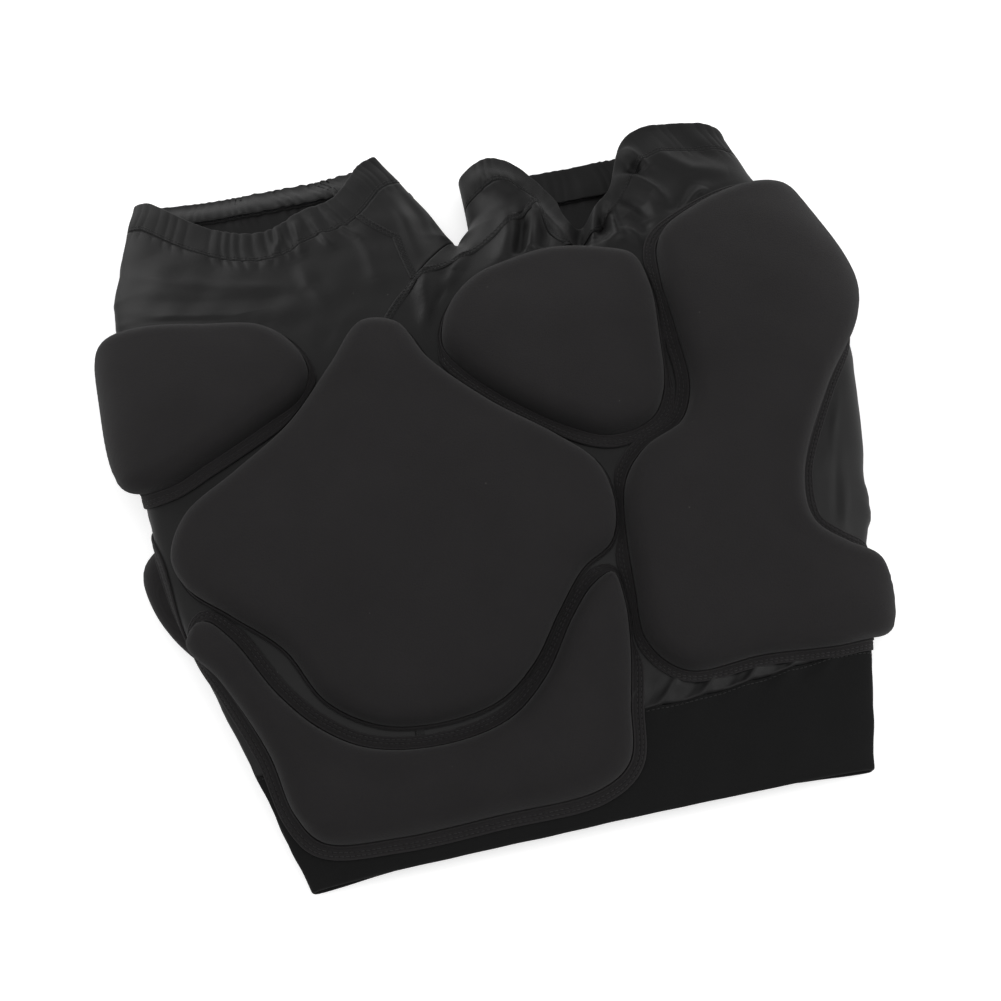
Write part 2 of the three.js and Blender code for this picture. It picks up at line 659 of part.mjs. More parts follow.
// Where the cross lines of the panels and the gussets lie.
const SEAM_SHARE = SEAM_GAP / 2 / 100;
const PANEL_STOPS = steps(0.13, 1 - SEAM_SHARE, 6);
const FOLD_STOP = { upper: 0.008, lower: 0.004 };
const GUSSET_STOPS = [SEAM_SHARE * 4, 0.3, 0.6, 0.82, 1, 1.18, 1.4, 1.7, 2 - SEAM_SHARE * 4];
const BODY_ROWS = [...steps(SEAM_SHARE / 3, 0.61, 7), 0.64, 0.67, GUSSET_ROW];
const LEG_ROWS = steps(GUSSET_ROW, 1 - SEAM_SHARE, 6).slice(1);

function addPanels() {
  for (const side of ["left", "right"]) {
    for (const [layer, name] of [["upper", "back"], ["lower", "front"]]) {
      const profile = sheetProfile([...BODY_ROWS, ...LEG_ROWS], SHELL);
      const how = { closed: false, stepV: 0.004, probe: [0.5, 0.5], facing: FACING[layer] };
      const stops = [FOLD_STOP[layer], ...PANEL_STOPS];
      const panel = ribbon(panelSurface(side, layer), stops, profile, how);
      addPiece(`${side}_${name}_panel`, panel, FABRIC_BLACK);
    }
  }
}

function addGussets() {
  for (const side of ["left", "right"]) {
    const how = { closed: false, stepV: 0.004, probe: [0.2, 0.5], facing: FACING.upper };
    const profile = sheetProfile(steps(SEAM_SHARE * 5, 1 - SEAM_SHARE * 4, 6), SHELL);
    const half = ribbon(gussetSurface(side), GUSSET_STOPS, profile, how);
    addPiece(`${side}_inner_thigh_panel`, half, FABRIC_BLACK);
  }
}

function addWaistband() {
  const around = steps(0, 2, 32).slice(0, -1);
  const sewn = WAISTBAND_HEIGHT - SEAM_GAP / 2;
  const sleeve = sleeveProfile(0, sewn, WAIST_ELASTIC);
  const elastic = elasticProfile(0, sewn, WAIST_ELASTIC);
  addPiece("waistband_cover", ribbon(waistSurface, around, sleeve, AROUND), BAND_BLACK);
  addPiece("waistband_elastic", ribbon(waistSurface, around, elastic, AROUND), ELASTIC_BLACK);
}

function addCuffs() {
  const panelPart = [0, ...PANEL_STOPS.map((u) => crowdStart(u) * GUSSET_SHARE)];
  const gussetPart = (u) => lerp(GUSSET_SHARE, 1, 1 - crowdStart(u - 1));
  const over = [...panelPart, ...GUSSET_STOPS.slice(1, 5).map(gussetPart)];
  const around = [...over, ...over.slice(1, -1).reverse().map((share) => 2 - share)];
  for (const side of ["left", "right"]) {
    const surface = cuffSurface(side);
    const sewn = 1.5 * SEAM_GAP;
    const sleeve = sleeveProfile(CUFF_HEIGHT, sewn, CUFF_ELASTIC);
    const elastic = elasticProfile(CUFF_HEIGHT, sewn, CUFF_ELASTIC);
    addPiece(`${side}_cuff_cover`, ribbon(surface, around, sleeve, AROUND), BAND_BLACK);
    addPiece(`${side}_cuff_elastic`, ribbon(surface, around, elastic, AROUND), ELASTIC_BLACK);
  }
}

addPads();
addPanels();
addGussets();
addWaistband();
addCuffs();

// The origin is under the middle of the garment, on the surface that it lies on.
const box = new THREE.Box3().setFromObject(shorts);
const centre = box.getCenter(new THREE.Vector3());
shorts.position.set(-centre.x, -centre.y, -box.min.z);

const group = new THREE.Group();
group.add(shorts);

export default group;
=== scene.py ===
"""Padded impact shorts for skiing and snowboarding, laid out with the back up.

The cloth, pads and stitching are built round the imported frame. All sizes in this file are in
millimetres, in the pattern's own frame, and are moved to the row frame when a mesh is made.
"""

import logging
from dataclasses import dataclass, field
from enum import Enum
from typing import Callable, Iterator, Optional

import bpy
import numpy as np
from mathutils import Matrix, Vector
from mathutils.geometry import delaunay_2d_cdt


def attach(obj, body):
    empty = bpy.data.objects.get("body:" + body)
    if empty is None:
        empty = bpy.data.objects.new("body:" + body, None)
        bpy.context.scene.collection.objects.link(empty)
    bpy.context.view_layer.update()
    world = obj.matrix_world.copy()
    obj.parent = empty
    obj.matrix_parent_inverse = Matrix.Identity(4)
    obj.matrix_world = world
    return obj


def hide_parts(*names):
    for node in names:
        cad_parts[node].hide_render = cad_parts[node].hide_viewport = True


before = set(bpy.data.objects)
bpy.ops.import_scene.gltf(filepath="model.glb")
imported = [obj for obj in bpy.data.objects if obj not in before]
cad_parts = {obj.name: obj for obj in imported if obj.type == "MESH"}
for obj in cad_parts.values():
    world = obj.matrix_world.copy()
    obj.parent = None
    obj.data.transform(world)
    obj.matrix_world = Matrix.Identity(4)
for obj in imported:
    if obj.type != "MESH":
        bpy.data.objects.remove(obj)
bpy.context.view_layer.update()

log = logging.getLogger("impact_shorts")

Array = np.ndarray
Surface = Callable[[Array, Array], Array]

MM = 0.001
TO_ROW = np.array([-14.78, -35.13, 0.0])  # the pattern frame's place in the row frame
FLOOR_CLEAR = 0.15  # how far above the floor the lowest cloth lies
THREAD_CLEAR = 0.05  # how far above the floor the lowest thread lies


# ---- Plain mathematics ------------------------------------------------------

def lerp(a: Array, b: Array, t: Array) -> Array:
    """Go from a to b as t goes from 0 to 1."""
    return a + (b - a) * t


def smoothstep(x: Array, low: float, high: float) -> Array:
    """Rise smoothly from 0 at low to 1 at high."""
    t = np.clip((x - low) / (high - low), 0, 1)
    return t * t * (3 - 2 * t)


def shoulder(t: Array) -> Array:
    """Rise from 0 with an upright start and level out at 1, as a soft fold's shoulder does."""
    return (1 - (1 - np.clip(t, 0, 1)) ** 2.4) ** (1 / 2.4)


def crowd_start(u: Array) -> Array:
    """Go from 0 to 1 with the steps close together at 0, where the layers fold over."""
    return 1 - np.cos((np.pi / 2) * np.abs(u) ** 1.35)


def crowd_ends(u: Array) -> Array:
    """Go from 0 to 1 with the steps close together at both ends."""
    return np.where(u < 0.5, 0.5 * crowd_start(2 * u), 1 - 0.5 * crowd_start(2 - 2 * u))


def unit(vectors: Array) -> Array:
    """Scale each vector to a length of one."""
    return vectors / np.maximum(np.linalg.norm(vectors, axis=-1, keepdims=True), 1e-9)


def distance_along(line: Array) -> Array:
    """Give how far along a line each of its points lies."""
    return np.concatenate([[0], np.cumsum(np.linalg.norm(np.diff(line, axis=0), axis=1))])


def at_height(places: Array, height: object) -> Array:
    """Give flat places a height over the cloth, one for all or one each."""
    return np.column_stack([places, np.full(len(places), height)])


@dataclass(frozen=True)
class Curve:
    """A smooth line through [place, value] knots that never overshoots them."""

    knots: tuple

    def __call__(self, place: Array) -> Array:
        """Give the line's value.

        Args:
            place: where along the line.

        Returns:
            The value at each place.
        """
        p, v = np.array(self.knots, float).T
        h = np.diff(p)
        slope = np.diff(v) / h
        product, total = slope[:-1] * slope[1:], slope[:-1] + slope[1:]
        inner = np.where(product > 0, 2 * product / np.where(product > 0, total, 1), 0)
        slopes = np.concatenate([slope[:1], inner, slope[-1:]])
        at = np.clip(place, p[0], p[-1])
        i = np.clip(np.searchsorted(p, at) - 1, 0, len(h) - 1)
        t = (at - p[i]) / h[i]
        rise = t * (1 - t) * ((1 - t) * slopes[i] - t * slopes[i + 1]) * h[i]
        return v[i] + (v[i + 1] - v[i]) * t * t * (3 - 2 * t) + rise


@dataclass(frozen=True)
class Ripple:
    """A seeded sum of waves, from about -1 to 1, that gives cloth its small unevenness."""

    seed: int
    length: float
    waves: int = 7

    def __call__(self, x: Array, y: Array) -> Array:
        """Give the ripple's height.

        Args:
            x: places across.
            y: places along.

        Returns:
            The height at each place, from about -1 to 1.
        """
        draw = np.random.default_rng(self.seed)
        total = np.zeros(np.broadcast(x, y).shape)
        for _ in range(self.waves):
            angle, phase = draw.uniform(0, 2 * np.pi, 2)
            wave = 2 * np.pi / (self.length * draw.uniform(0.6, 1.7))
            total = total + np.sin(wave * (x * np.cos(angle) + y * np.sin(angle)) + phase)
        return total / np.sqrt(self.waves) / 1.4


@dataclass(frozen=True)
class Pleats:
    """Uneven rounded gathers, from about -0.6 to 0.4, with narrow furrows between them."""

    spacing: float = 7.4
    seed: int = 3

    def __call__(self, along: Array) -> Array:
        """Give the gathers' height at places along the seam that gathers them.

        Args:
            along: places along the seam, in millimetres.

        Returns:
            The height at each place.
        """
        a, b, c = np.random.default_rng(self.seed).uniform(0, 6.28, 3)
        phase = along / self.spacing
        phase = phase + 0.45 * np.sin(along / 13 + a) + 0.3 * np.sin(along / 5.3 + b)
        size = 0.7 + 0.3 * np.sin(along / 23 + c)
        return size * (np.abs(np.cos(np.pi * phase)) ** 0.7 - 0.6)


# ---- The laid garment -------------------------------------------------------

class Side(Enum):
    """A side of the garment as seen from above with the waist nearest."""

    LEFT = -1
    RIGHT = 1


class Layer(Enum):
    """The back layer lies over the front layer."""

    BACK = 1
    FRONT = -1


@dataclass(frozen=True)
class Fold:
    """A soft ridge, or a furrow if its height is negative, along a line in the back layer."""

    line: tuple
    height: float
    width: float
    under: bool = False  # whether it runs on under a pad's margin

    def __call__(self, x: Array, y: Array) -> Array:
        """Give the ridge's height.

        Args:
            x: places across.
            y: places along.

        Returns:
            The height in millimetres at each place.
        """
        points = np.array(self.line, float)
        low, high = points.min(0) - 3 * self.width, points.max(0) + 3 * self.width
        near = (x > low[0]) & (x < high[0]) & (y > low[1]) & (y < high[1])
        out = np.zeros(x.shape)
        if near.any():
            out[near] = self.ridge(points, x[near], y[near])
        return out

    def ridge(self, points: Array, x: Array, y: Array) -> Array:
        """Give the ridge's height at places near it.

        Args:
            points: the line's corners.
            x: places across.
            y: places along.

        Returns:
            The height in millimetres at each place.
        """
        best = np.full(x.shape, np.inf)
        along = np.zeros(x.shape)
        lengths = np.linalg.norm(np.diff(points, axis=0), axis=1)
        total = lengths.sum()
        for i, length in enumerate(lengths):
            way = (points[i + 1] - points[i]) / length
            reach = (x - points[i][0]) * way[0] + (y - points[i][1]) * way[1]
            t = np.clip(reach, 0, length)
            gap = np.hypot(x - points[i][0] - t * way[0], y - points[i][1] - t * way[1])
            nearer = gap < best
            best = np.where(nearer, gap, best)
            along = np.where(nearer, (lengths[:i].sum() + t) / total, along)
        taper = np.clip(np.sin(np.pi * np.clip(along, 0.02, 0.98)), 0, 1) ** 0.6
        return self.height * taper * np.exp(-((best / self.width) ** 2))


@dataclass(frozen=True)
class Garment:
    """The outside of the garment as it lies: where its folds, layers, seams and hems run."""

    waist_y: float = -207.0
    seam_y: float = -139.0
    crotch_x: float = 15.0
    crotch_y: float = 190.0
    crotch_z: float = 18.0
    hem_y: float = 277.0
    cuff: float = 27.0
    waistband: float = 68.0
    waist_setback: float = 12.0
    left_dip: float = 60.0
    right_dip: float = 69.0
    hem_round: float = 6.0
    right_short: float = 26.0
    pad_stack: float = 16.2
    flat_reach: float = 1.09
    gusset_y: float = 150.0
    gusset_share: float = 0.77
    gusset_row: float = 0.7
    leg_round: float = 45.0
    crotch_round: float = 70.0
    inside_rise: float = 9.0
    back_arch: float = 2.7
    front_arch: float = 3.5
    valley_x: float = 77.0  # the right leg's cleft, from the crotch
    valley_width: float = 25.0
    valley_depth: float = 0.42
    bump_share: float = 0.6  # across the leg, where the left hem's dip eases and the right's lies
    middle: Curve = Curve(((-207, 9), (-60, 8.5), (90, 15.5), (190, 6)))
    width: Curve = Curve(((-207, 330), (-139, 366), (20, 438), (90, 449), (190, 424)))
    outer_left: Curve = Curve(((190, -206), (277, -180)))
    outer_right: Curve = Curve(((190, 218), (277, 195)))
    inner_left: Curve = Curve(((190, 15), (277, -25)))
    inner_right: Curve = Curve(((190, 15), (205, 26), (277, 29)))
    crest: Curve = Curve(((-207, 19), (-139, 32.2), (-90, 49), (0, 66.5), (80, 70), (140, 63),
                          (217, 44.95), (277, 31)))
    fold_left: Curve = Curve(((-207, 8), (-120, 29), (100, 33), (250, 27), (277, 15)))
    fold_right: Curve = Curve(((-207, 8), (-120, 20), (100, 24), (277, 14)))
    seam_back: Curve = Curve(((-139, -79), (0, -63), (112, -47), (150, -20)))

    def fold_x(self, side: Side, y: Array) -> Array:
        """Give the x of a side's fold at each y."""
        leg = self.outer_left(y) if side is Side.LEFT else self.outer_right(y)
        return np.where(y > self.crotch_y, leg, self.middle(y) + side.value * self.width(y) / 2)

    def inner_leg(self, side: Side, y: Array) -> Array:
        """Give the x of the inside of a leg at each y past the crotch."""
        return self.inner_left(y) if side is Side.LEFT else self.inner_right(y)

    def across(self, x: Array, y: Array) -> Array:
        """Give how far x lies across the garment, from -1 at the left fold to 1 at the right."""
        left, right = self.fold_x(Side.LEFT, y), self.fold_x(Side.RIGHT, y)
        return np.clip((2 * x - left - right) / (right - left), -1, 1)

    def leg_share(self, x: Array, y: Array) -> Array:
        """Give 0 along the inside of the legs and at the crotch, and 1 away from them.

        Args:
            x: places across.
            y: places along.

        Returns:
            The share at each place.
        """
        left, right = self.inner_left(y), self.inner_right(y)
        into = np.where(x > (left + right) / 2, x - right, left - x) / self.leg_round
        round_crotch = np.hypot((x - self.crotch_x) / self.leg_round,
                                (self.crotch_y - y) / self.crotch_round)
        return shoulder(np.where(y <= self.crotch_y, round_crotch, into))

    def fold_height(self, x: Array, y: Array) -> Array:
        """Give the height of the folds, blended from side to side."""
        return lerp(self.fold_left(y), self.fold_right(y), (self.across(x, y) + 1) / 2)

    def inside_z(self, x: Array, y: Array) -> Array:
        """Give the height of the fold on the inside of a leg."""
        raised = self.inside_rise * smoothstep(y, self.crotch_y, self.crotch_y + 30)
        return self.crotch_z + np.where(x < self.crotch_x, raised, 0)

    def back_z(self, x: Array, y: Array) -> Array:
        """Give the height of the back layer's outside.

        Args:
            x: places across.
            y: places along.

        Returns:
            The height at each place.
        """
        fold = self.fold_height(x, y)
        arch = (1 - np.abs(self.across(x, y)) ** self.back_arch) ** (1 / self.back_arch)
        place = np.exp(-(((x - self.crotch_x - self.valley_x) / self.valley_width) ** 2))
        valley = self.valley_depth * place * smoothstep(y, self.crotch_y - 50, self.crotch_y + 10)
        height = fold + (self.crest(y) - fold) * arch * (1 - valley)
        return lerp(self.inside_z(x, y), height, self.leg_share(x, y))

    def front_z(self, x: Array, y: Array) -> Array:
        """Give the height of the front layer's outside, which lies on the left hip pad.

        Args:
            x: places across.
            y: places along.

        Returns:
            The height at each place.
        """
        fold = self.fold_height(x, y)
        arch = (1 - np.abs(self.across(x, y)) ** self.front_arch) ** (1 / self.front_arch)
        along = smoothstep(y, self.waist_y + 5, self.seam_y)
        along = along * (1 - smoothstep(y, self.hem_y - self.cuff, self.hem_y))
        bed = self.pad_stack * along * (1 - smoothstep(x, self.crotch_x - 5, self.crotch_x + 35))
        height = lerp(fold, bed, np.minimum(1, self.flat_reach * arch))
        return lerp(self.inside_z(x, y), height, self.leg_share(x, y))

    def inner_x(self, side: Side, y: Array) -> Array:
        """Give the x of the body's middle seam and, past the crotch, of the inside of a leg.

        Args:
            side: the side.
            y: places along.

        Returns:
            The x at each place.
        """
        t = np.clip((y - self.gusset_y) / (self.crotch_y - self.gusset_y), 0, 1)
        body = lerp(self.seam_back(y), self.crotch_x, t)
        return np.where(y > self.crotch_y, self.inner_leg(side, y), body)

    def seam_share(self, t: Array) -> Array:
        """Give how far across a leg its inseam lies, from the crotch (0) to the cuff (1)."""
        return lerp(1, self.gusset_share, 1 - (1 - np.clip(t, 0, 1)) ** 1.5)

    def leg_x(self, side: Side, y: Array, share: Array) -> Array:
        """Give the x at a share of the way from a side's fold to the inside."""
        return lerp(self.fold_x(side, y), self.inner_x(side, y), share)

    def hem(self, side: Side, layer: Layer, share: Array) -> Array:
        """Give the y of one layer's hem at a share across the leg.

        Args:
            side: the side.
            layer: the back or the front layer.
            share: how far across, from the fold (0) to the inside (1).

        Returns:
            The y at each share.
        """
        rounded = self.hem_round * (1 - smoothstep(1 - share, 0, 0.13))
        rounded = rounded + 0.6 * self.hem_round * (1 - smoothstep(share, 0, 0.07))
        if layer is Layer.FRONT:
            return self.hem_y - (self.right_short if side is Side.RIGHT else 0) - rounded
        if side is Side.LEFT:
            dip = np.sin(np.pi * np.clip(share, 0, 1)) ** 1.3
            dip = dip - 0.15 * np.exp(-(((share - self.bump_share) / 0.09) ** 2))
            return self.hem_y - self.left_dip * dip - rounded
        dip = np.exp(-(((share - self.bump_share) / 0.155) ** 2)) * smoothstep(share, 0, 0.1)
        drop = self.right_dip * dip * (1 - smoothstep(share, 0.9, 1))
        return self.hem_y - self.right_short - drop - rounded


def by_layer(back: Array, give: Callable, a: Array, b: Array) -> Array:
    """Give points on whichever layer each place is on.

    Args:
        back: whether each place is on the back layer.
        give: gives points from two numbers and a layer.
        a: the first number.
        b: the second number.

    Returns:
        One point for each place.
    """
    out = np.empty((*back.shape, 3))
    for layer, mine in ((Layer.BACK, back), (Layer.FRONT, ~back)):
        if mine.any():
            out[mine] = give(a[mine], b[mine], layer)
    return out


@dataclass
class Cloth:
    """The garment's surface with its folds, gathers and small unevenness."""

    garment: Garment
    folds: tuple
    cover: Callable[[Array, Array, Layer], Array]
    gather: float = 1.35
    gather_reach: float = 7.0
    uneven: float = 0.5
    pleats: Pleats = Pleats()
    small: Ripple = Ripple(5, 34.0, 9)
    droop: float = 9.5  # how far the back's waist seam sags towards the waist
    droop_reach: float = 24.0
    droop_span: tuple = (15, 45, 70, 190)  # where across it starts, is full and ends
    right_back_gather: float = 0.45

    def relief(self, x: Array, y: Array, layer: Layer) -> Array:
        """Give how far the cloth stands proud of the plain surface.

        Args:
            x: places across.
            y: places along.
            layer: the back or the front layer.

        Returns:
            The height in millimetres at each place.
        """
        g = self.garment
        free = self.uneven * self.small(x, y + 400 * layer.value)
        held = np.zeros(x.shape)
        for fold in self.folds if layer is Layer.BACK else ():
            free, held = (free, held + fold(x, y)) if fold.under else (free + fold(x, y), held)
        total = free * (1 - self.cover(x, y, layer)) + held
        for side in Side:
            outer, inner = g.fold_x(side, y), g.inner_x(side, y)
            width = np.where(np.abs(inner - outer) < 1, 1, inner - outer)
            share = np.clip((x - outer) / width, 0, 1)
            mine = (x > g.crotch_x) == (side is Side.RIGHT)
            sewn = g.hem(side, layer, share) - g.cuff - y
            near = np.exp(-(np.maximum(sewn, 0) / self.gather_reach) ** 2 * 1.5)
            ends = smoothstep(share, 0, 0.04) * (1 - smoothstep(share, 0.96, 1))
            drift = 2.2 * np.sin(sewn / 11 + 6 * share)
            pleat = self.pleats(share * 190 + 331 * side.value + 157 * layer.value + drift)
            held_flat = (side, layer) == (Side.RIGHT, Layer.BACK)
            size = self.gather * (self.right_back_gather if held_flat else 1.0)
            total = total + np.where(mine, size * pleat * near * (0.35 + 0.65 * ends), 0)
        return total

    def point(self, x: Array, y: Array, layer: Layer) -> Array:
        """Give points on the cloth's outside.

        Args:
            x: places across.
            y: places along.
            layer: the back or the front layer.

        Returns:
            One point for each place.
        """
        g = self.garment
        y = y + 0 * x
        if layer is Layer.BACK:
            start, full, ease, end = self.droop_span
            sag = smoothstep(x, start, full) * (1 - smoothstep(x, ease, end))
            y = y - self.droop * sag * np.exp(-(((y - g.seam_y) / self.droop_reach) ** 2))
        z = g.back_z(x, y) if layer is Layer.BACK else g.front_z(x, y)
        side = g.across(x, y)
        sideways = np.sign(side) * np.abs(side) ** 8
        upright = layer.value * (1 - np.abs(sideways))
        rise = self.relief(x, y, layer)
        return np.stack([x + sideways * rise, y + 0 * x, z + upright * rise], axis=-1)

    def leg_panel(self, side: Side) -> Surface:
        """Give the surface of a side's cloth.

        Args:
            side: the side.

        Returns:
            A surface whose u runs from the front seam (-1) round the side to the back seam (1),
            and v from the waist to the cuff.
        """
        g = self.garment

        def one(u: Array, v: Array, layer: Layer) -> Array:
            """Give points of one layer.

            Args:
                u: places round the panel.
                v: places along it.
                layer: the back or the front layer.

            Returns:
                One point for each place.
            """
            inward = crowd_start(u)
            end = g.hem(side, layer, inward * g.gusset_share) - g.cuff
            body = lerp(g.seam_y, g.gusset_y, v / g.gusset_row)
            leg = lerp(g.gusset_y, end, (v - g.gusset_row) / (1 - g.gusset_row))
            y = np.where(v < g.gusset_row, body, leg)
            cut = g.seam_share((v - g.gusset_row) / (1 - g.gusset_row))
            return self.point(g.leg_x(side, y, inward * cut), y, layer)

        return lambda u, v: by_layer(u > 0, one, u, v)

    def gusset(self, side: Side) -> Surface:
        """Give the surface of a leg's inner panel.

        Args:
            side: the side.

        Returns:
            A surface whose u runs from the back seam (0) round the inside (1) to the front (2),
            and v from the crotch to the cuff.
        """
        g = self.garment

        def one(u: Array, v: Array, layer: Layer) -> Array:
            """Give points of one layer.

            Args:
                u: places round the panel.
                v: places along it.
                layer: the back or the front layer.

            Returns:
                One point for each place.
            """
            inward = 1 - crowd_start(u - 1)
            end = g.hem(side, layer, lerp(g.gusset_share, 1, inward)) - g.cuff
            outer_y, inner_y = lerp(g.gusset_y, end, v), lerp(g.crotch_y, end, v)
            cut = g.seam_share(v)
            x = lerp(g.leg_x(side, outer_y, cut), g.inner_x(side, inner_y), inward)
            return self.point(x, lerp(outer_y, inner_y, inward), layer)

        return lambda u, v: by_layer(u < 1, one, u, v)

    def waist(self, u: Array, v: Array) -> Array:
        """Give points once round the waistband.

        Args:
            u: from the left fold over the back (0 to 1) and round the front (1 to 2).
            v: millimetres up from the free edge.

        Returns:
            One point for each place.
        """
        g = self.garment
        turn = u % 2
        share = np.where(turn < 1, crowd_ends(turn), 1 - crowd_ends(np.maximum(turn - 1, 0)))
        setback = np.where(turn < 1, 0, g.waist_setback * np.sin(np.pi * share))
        y = lerp(g.waist_y + setback, g.seam_y, v / g.waistband)
        x = lerp(g.fold_x(Side.LEFT, y), g.fold_x(Side.RIGHT, y), share)
        return by_layer(turn < 1, self.point, x, y)

    def cuff(self, side: Side) -> Surface:
        """Give the surface of a cuff.

        Args:
            side: the side.

        Returns:
            A surface whose u runs out over the back (0 to 1) and back under the front (1 to 2),
            and v from the leg's edge to the hem in millimetres.
        """
        g = self.garment

        def one(turn: Array, v: Array, layer: Layer) -> Array:
            """Give points of one layer.

            Args:
                turn: places round the cuff.
                v: millimetres from the leg's edge.
                layer: the back or the front layer.

            Returns:
                One point for each place.
            """
            share = np.where(turn < 1, turn, 2 - turn)
            y = g.hem(side, layer, share) - g.cuff + v
            return self.point(g.leg_x(side, y, share), y, layer)

        def whole(u: Array, v: Array) -> Array:
            """Give points of both layers."""
            turn = u % 2
            return by_layer(turn < 1, one, turn, v + 0 * turn)

        return whole


# ---- Flat patterns wrapped round the garment --------------------------------

@dataclass
class Chart:
    """The garment's outside as a grid of points and normals over flat pattern places."""

    garment: Garment
    step: float = 3.0
    q_min: float = -460.0
    columns: int = 288
    flat_middle: float = 45.0
    under_reach: float = 75.0
    soften: int = 3
    soften_normals: int = 14
    points: Array = field(init=False)
    normals: Array = field(init=False)

    def __post_init__(self) -> None:
        """Fill the grids."""
        g = self.garment
        self.y_min = g.waist_y - 12
        self.rows = int(np.ceil((g.hem_y + 8 - self.y_min) / self.step)) + 1
        self.q = self.q_min + np.arange(self.columns) * self.step
        self.sections = [self.section(self.y_min + row * self.step) for row in range(self.rows)]
        points = np.stack([self.row(i) for i in range(self.rows)])
        for _ in range(self.soften):
            points = self.blur(points)
        self.points = points
        along_q, along_y = np.gradient(points, axis=1), np.gradient(points, axis=0)
        normals = unit(np.cross(along_q, along_y))
        for _ in range(self.soften_normals):
            normals = unit(self.blur(normals))
        self.normals = normals

    def blur(self, grid: Array) -> Array:
        """Mix each entry of a grid with its neighbours.

        Args:
            grid: rows of points.

        Returns:
            The mixed grid.
        """
        padded = np.pad(grid, ((1, 1), (1, 1), (0, 0)), mode="edge")
        near = padded[:-2, 1:-1] + padded[2:, 1:-1] + padded[1:-1, :-2] + padded[1:-1, 2:]
        return (2 * grid + near) / 6

    def section(self, y: float) -> dict:
        """Give both halves of the garment's outline at a station.

        Args:
            y: the station.

        Returns:
            For each side, the distance from the middle, x and z along its path.
        """
        g = self.garment
        halves = {}
        shares = np.sin(np.linspace(0, 1, 90) * np.pi / 2)
        for side in Side:
            end = float(g.fold_x(side, np.array(y)))
            over = lerp(g.crotch_x + side.value * self.flat_middle, end, shares)
            under = lerp(g.crotch_x - side.value * self.under_reach, end, shares)[::-1][1:]
            z = np.concatenate([g.back_z(over, y + 0 * over), g.front_z(under, y + 0 * under)])
            x = np.concatenate([over, under])
            length = np.concatenate([[0], np.cumsum(np.hypot(np.diff(x), np.diff(z)))])
            halves[side] = (length, x, z, len(over))
        return halves

    def row(self, i: int) -> Array:
        """Give one row of the grid's points.

        Args:
            i: the row's number.

        Returns:
            The row's points.
        """
        g = self.garment
        y = self.y_min + i * self.step
        out = np.empty((self.columns, 3))
        out[:, 1] = y
        far = np.abs(self.q - g.crotch_x) - self.flat_middle
        flat = far <= 0
        out[flat, 0] = self.q[flat]
        out[flat, 2] = g.back_z(self.q[flat], y + 0 * self.q[flat])
        for side in Side:
            length, x, z, _ = self.sections[i][side]
            mine = ~flat & ((self.q > g.crotch_x) == (side is Side.RIGHT))
            out[mine, 0] = np.interp(far[mine], length, x)
            out[mine, 2] = np.interp(far[mine], length, z)
        return out

    def pattern_x(self, x: Array, y: Array, layer: Layer) -> Array:
        """Give the flat pattern place of points on the garment.

        Args:
            x: places across.
            y: places along.
            layer: the back or the front layer.

        Returns:
            How far across the pattern each point lies.
        """
        g = self.garment
        row = np.clip(np.round((y - self.y_min) / self.step).astype(int), 0, self.rows - 1)
        out = np.array(x, float)
        for i in np.unique(row):
            here = row == i
            for side in Side:
                length, path_x, _, turn = self.sections[i][side]
                mine = here & ((x > g.crotch_x) == (side is Side.RIGHT))
                outer, path = side.value * x[mine], side.value * path_x
                if layer is Layer.BACK:
                    flat = side.value * (x[mine] - g.crotch_x)
                    far = self.flat_middle + np.interp(outer, path[:turn], length[:turn])
                    far = np.where(flat > self.flat_middle, far, flat)
                else:
                    under = np.interp(outer, path[turn:][::-1], length[turn:][::-1])
                    far = self.flat_middle + under
                out[mine] = g.crotch_x + side.value * far
        return out

    def sample(self, grid: Array, q: Array, y: Array) -> Array:
        """Read a grid smoothly between its entries.

        Args:
            grid: the grid.
            q: places across the pattern.
            y: places along it.

        Returns:
            A blended entry for each place.
        """
        column = np.clip((q - self.q_min) / self.step, 1, self.columns - 3.001)
        row = np.clip((y - self.y_min) / self.step, 1, self.rows - 3.001)
        i, j = np.floor(row).astype(int), np.floor(column).astype(int)

        def weights(t: Array) -> list:
            """Give the four weights of a cubic spline."""
            return [(1 - t) ** 3 / 6, (3 * t**3 - 6 * t**2 + 4) / 6,
                    (-3 * t**3 + 3 * t**2 + 3 * t + 1) / 6, t**3 / 6]

        total = np.zeros((len(q), 3))
        for a, wa in enumerate(weights(row - i)):
            for b, wb in enumerate(weights(column - j)):
                total += grid[i + a - 1, j + b - 1] * (wa * wb)[:, None]
        return total

    def wrap(self, flat: Array) -> Array:
        """Put flat pattern points on the garment.

        Args:
            flat: places across, along and proud of the cloth.

        Returns:
            Their points in space, none of them under the floor.
        """
        base = self.sample(self.points, flat[:, 0], flat[:, 1])
        normal = unit(self.sample(self.normals, flat[:, 0], flat[:, 1]))
        out = base + normal * flat[:, 2:]
        out[:, 2] = np.maximum(out[:, 2], FLOOR_CLEAR + 0.02 * np.minimum(out[:, 2], 0))
        return out


# ---- Finishes ---------------------------------------------------------------

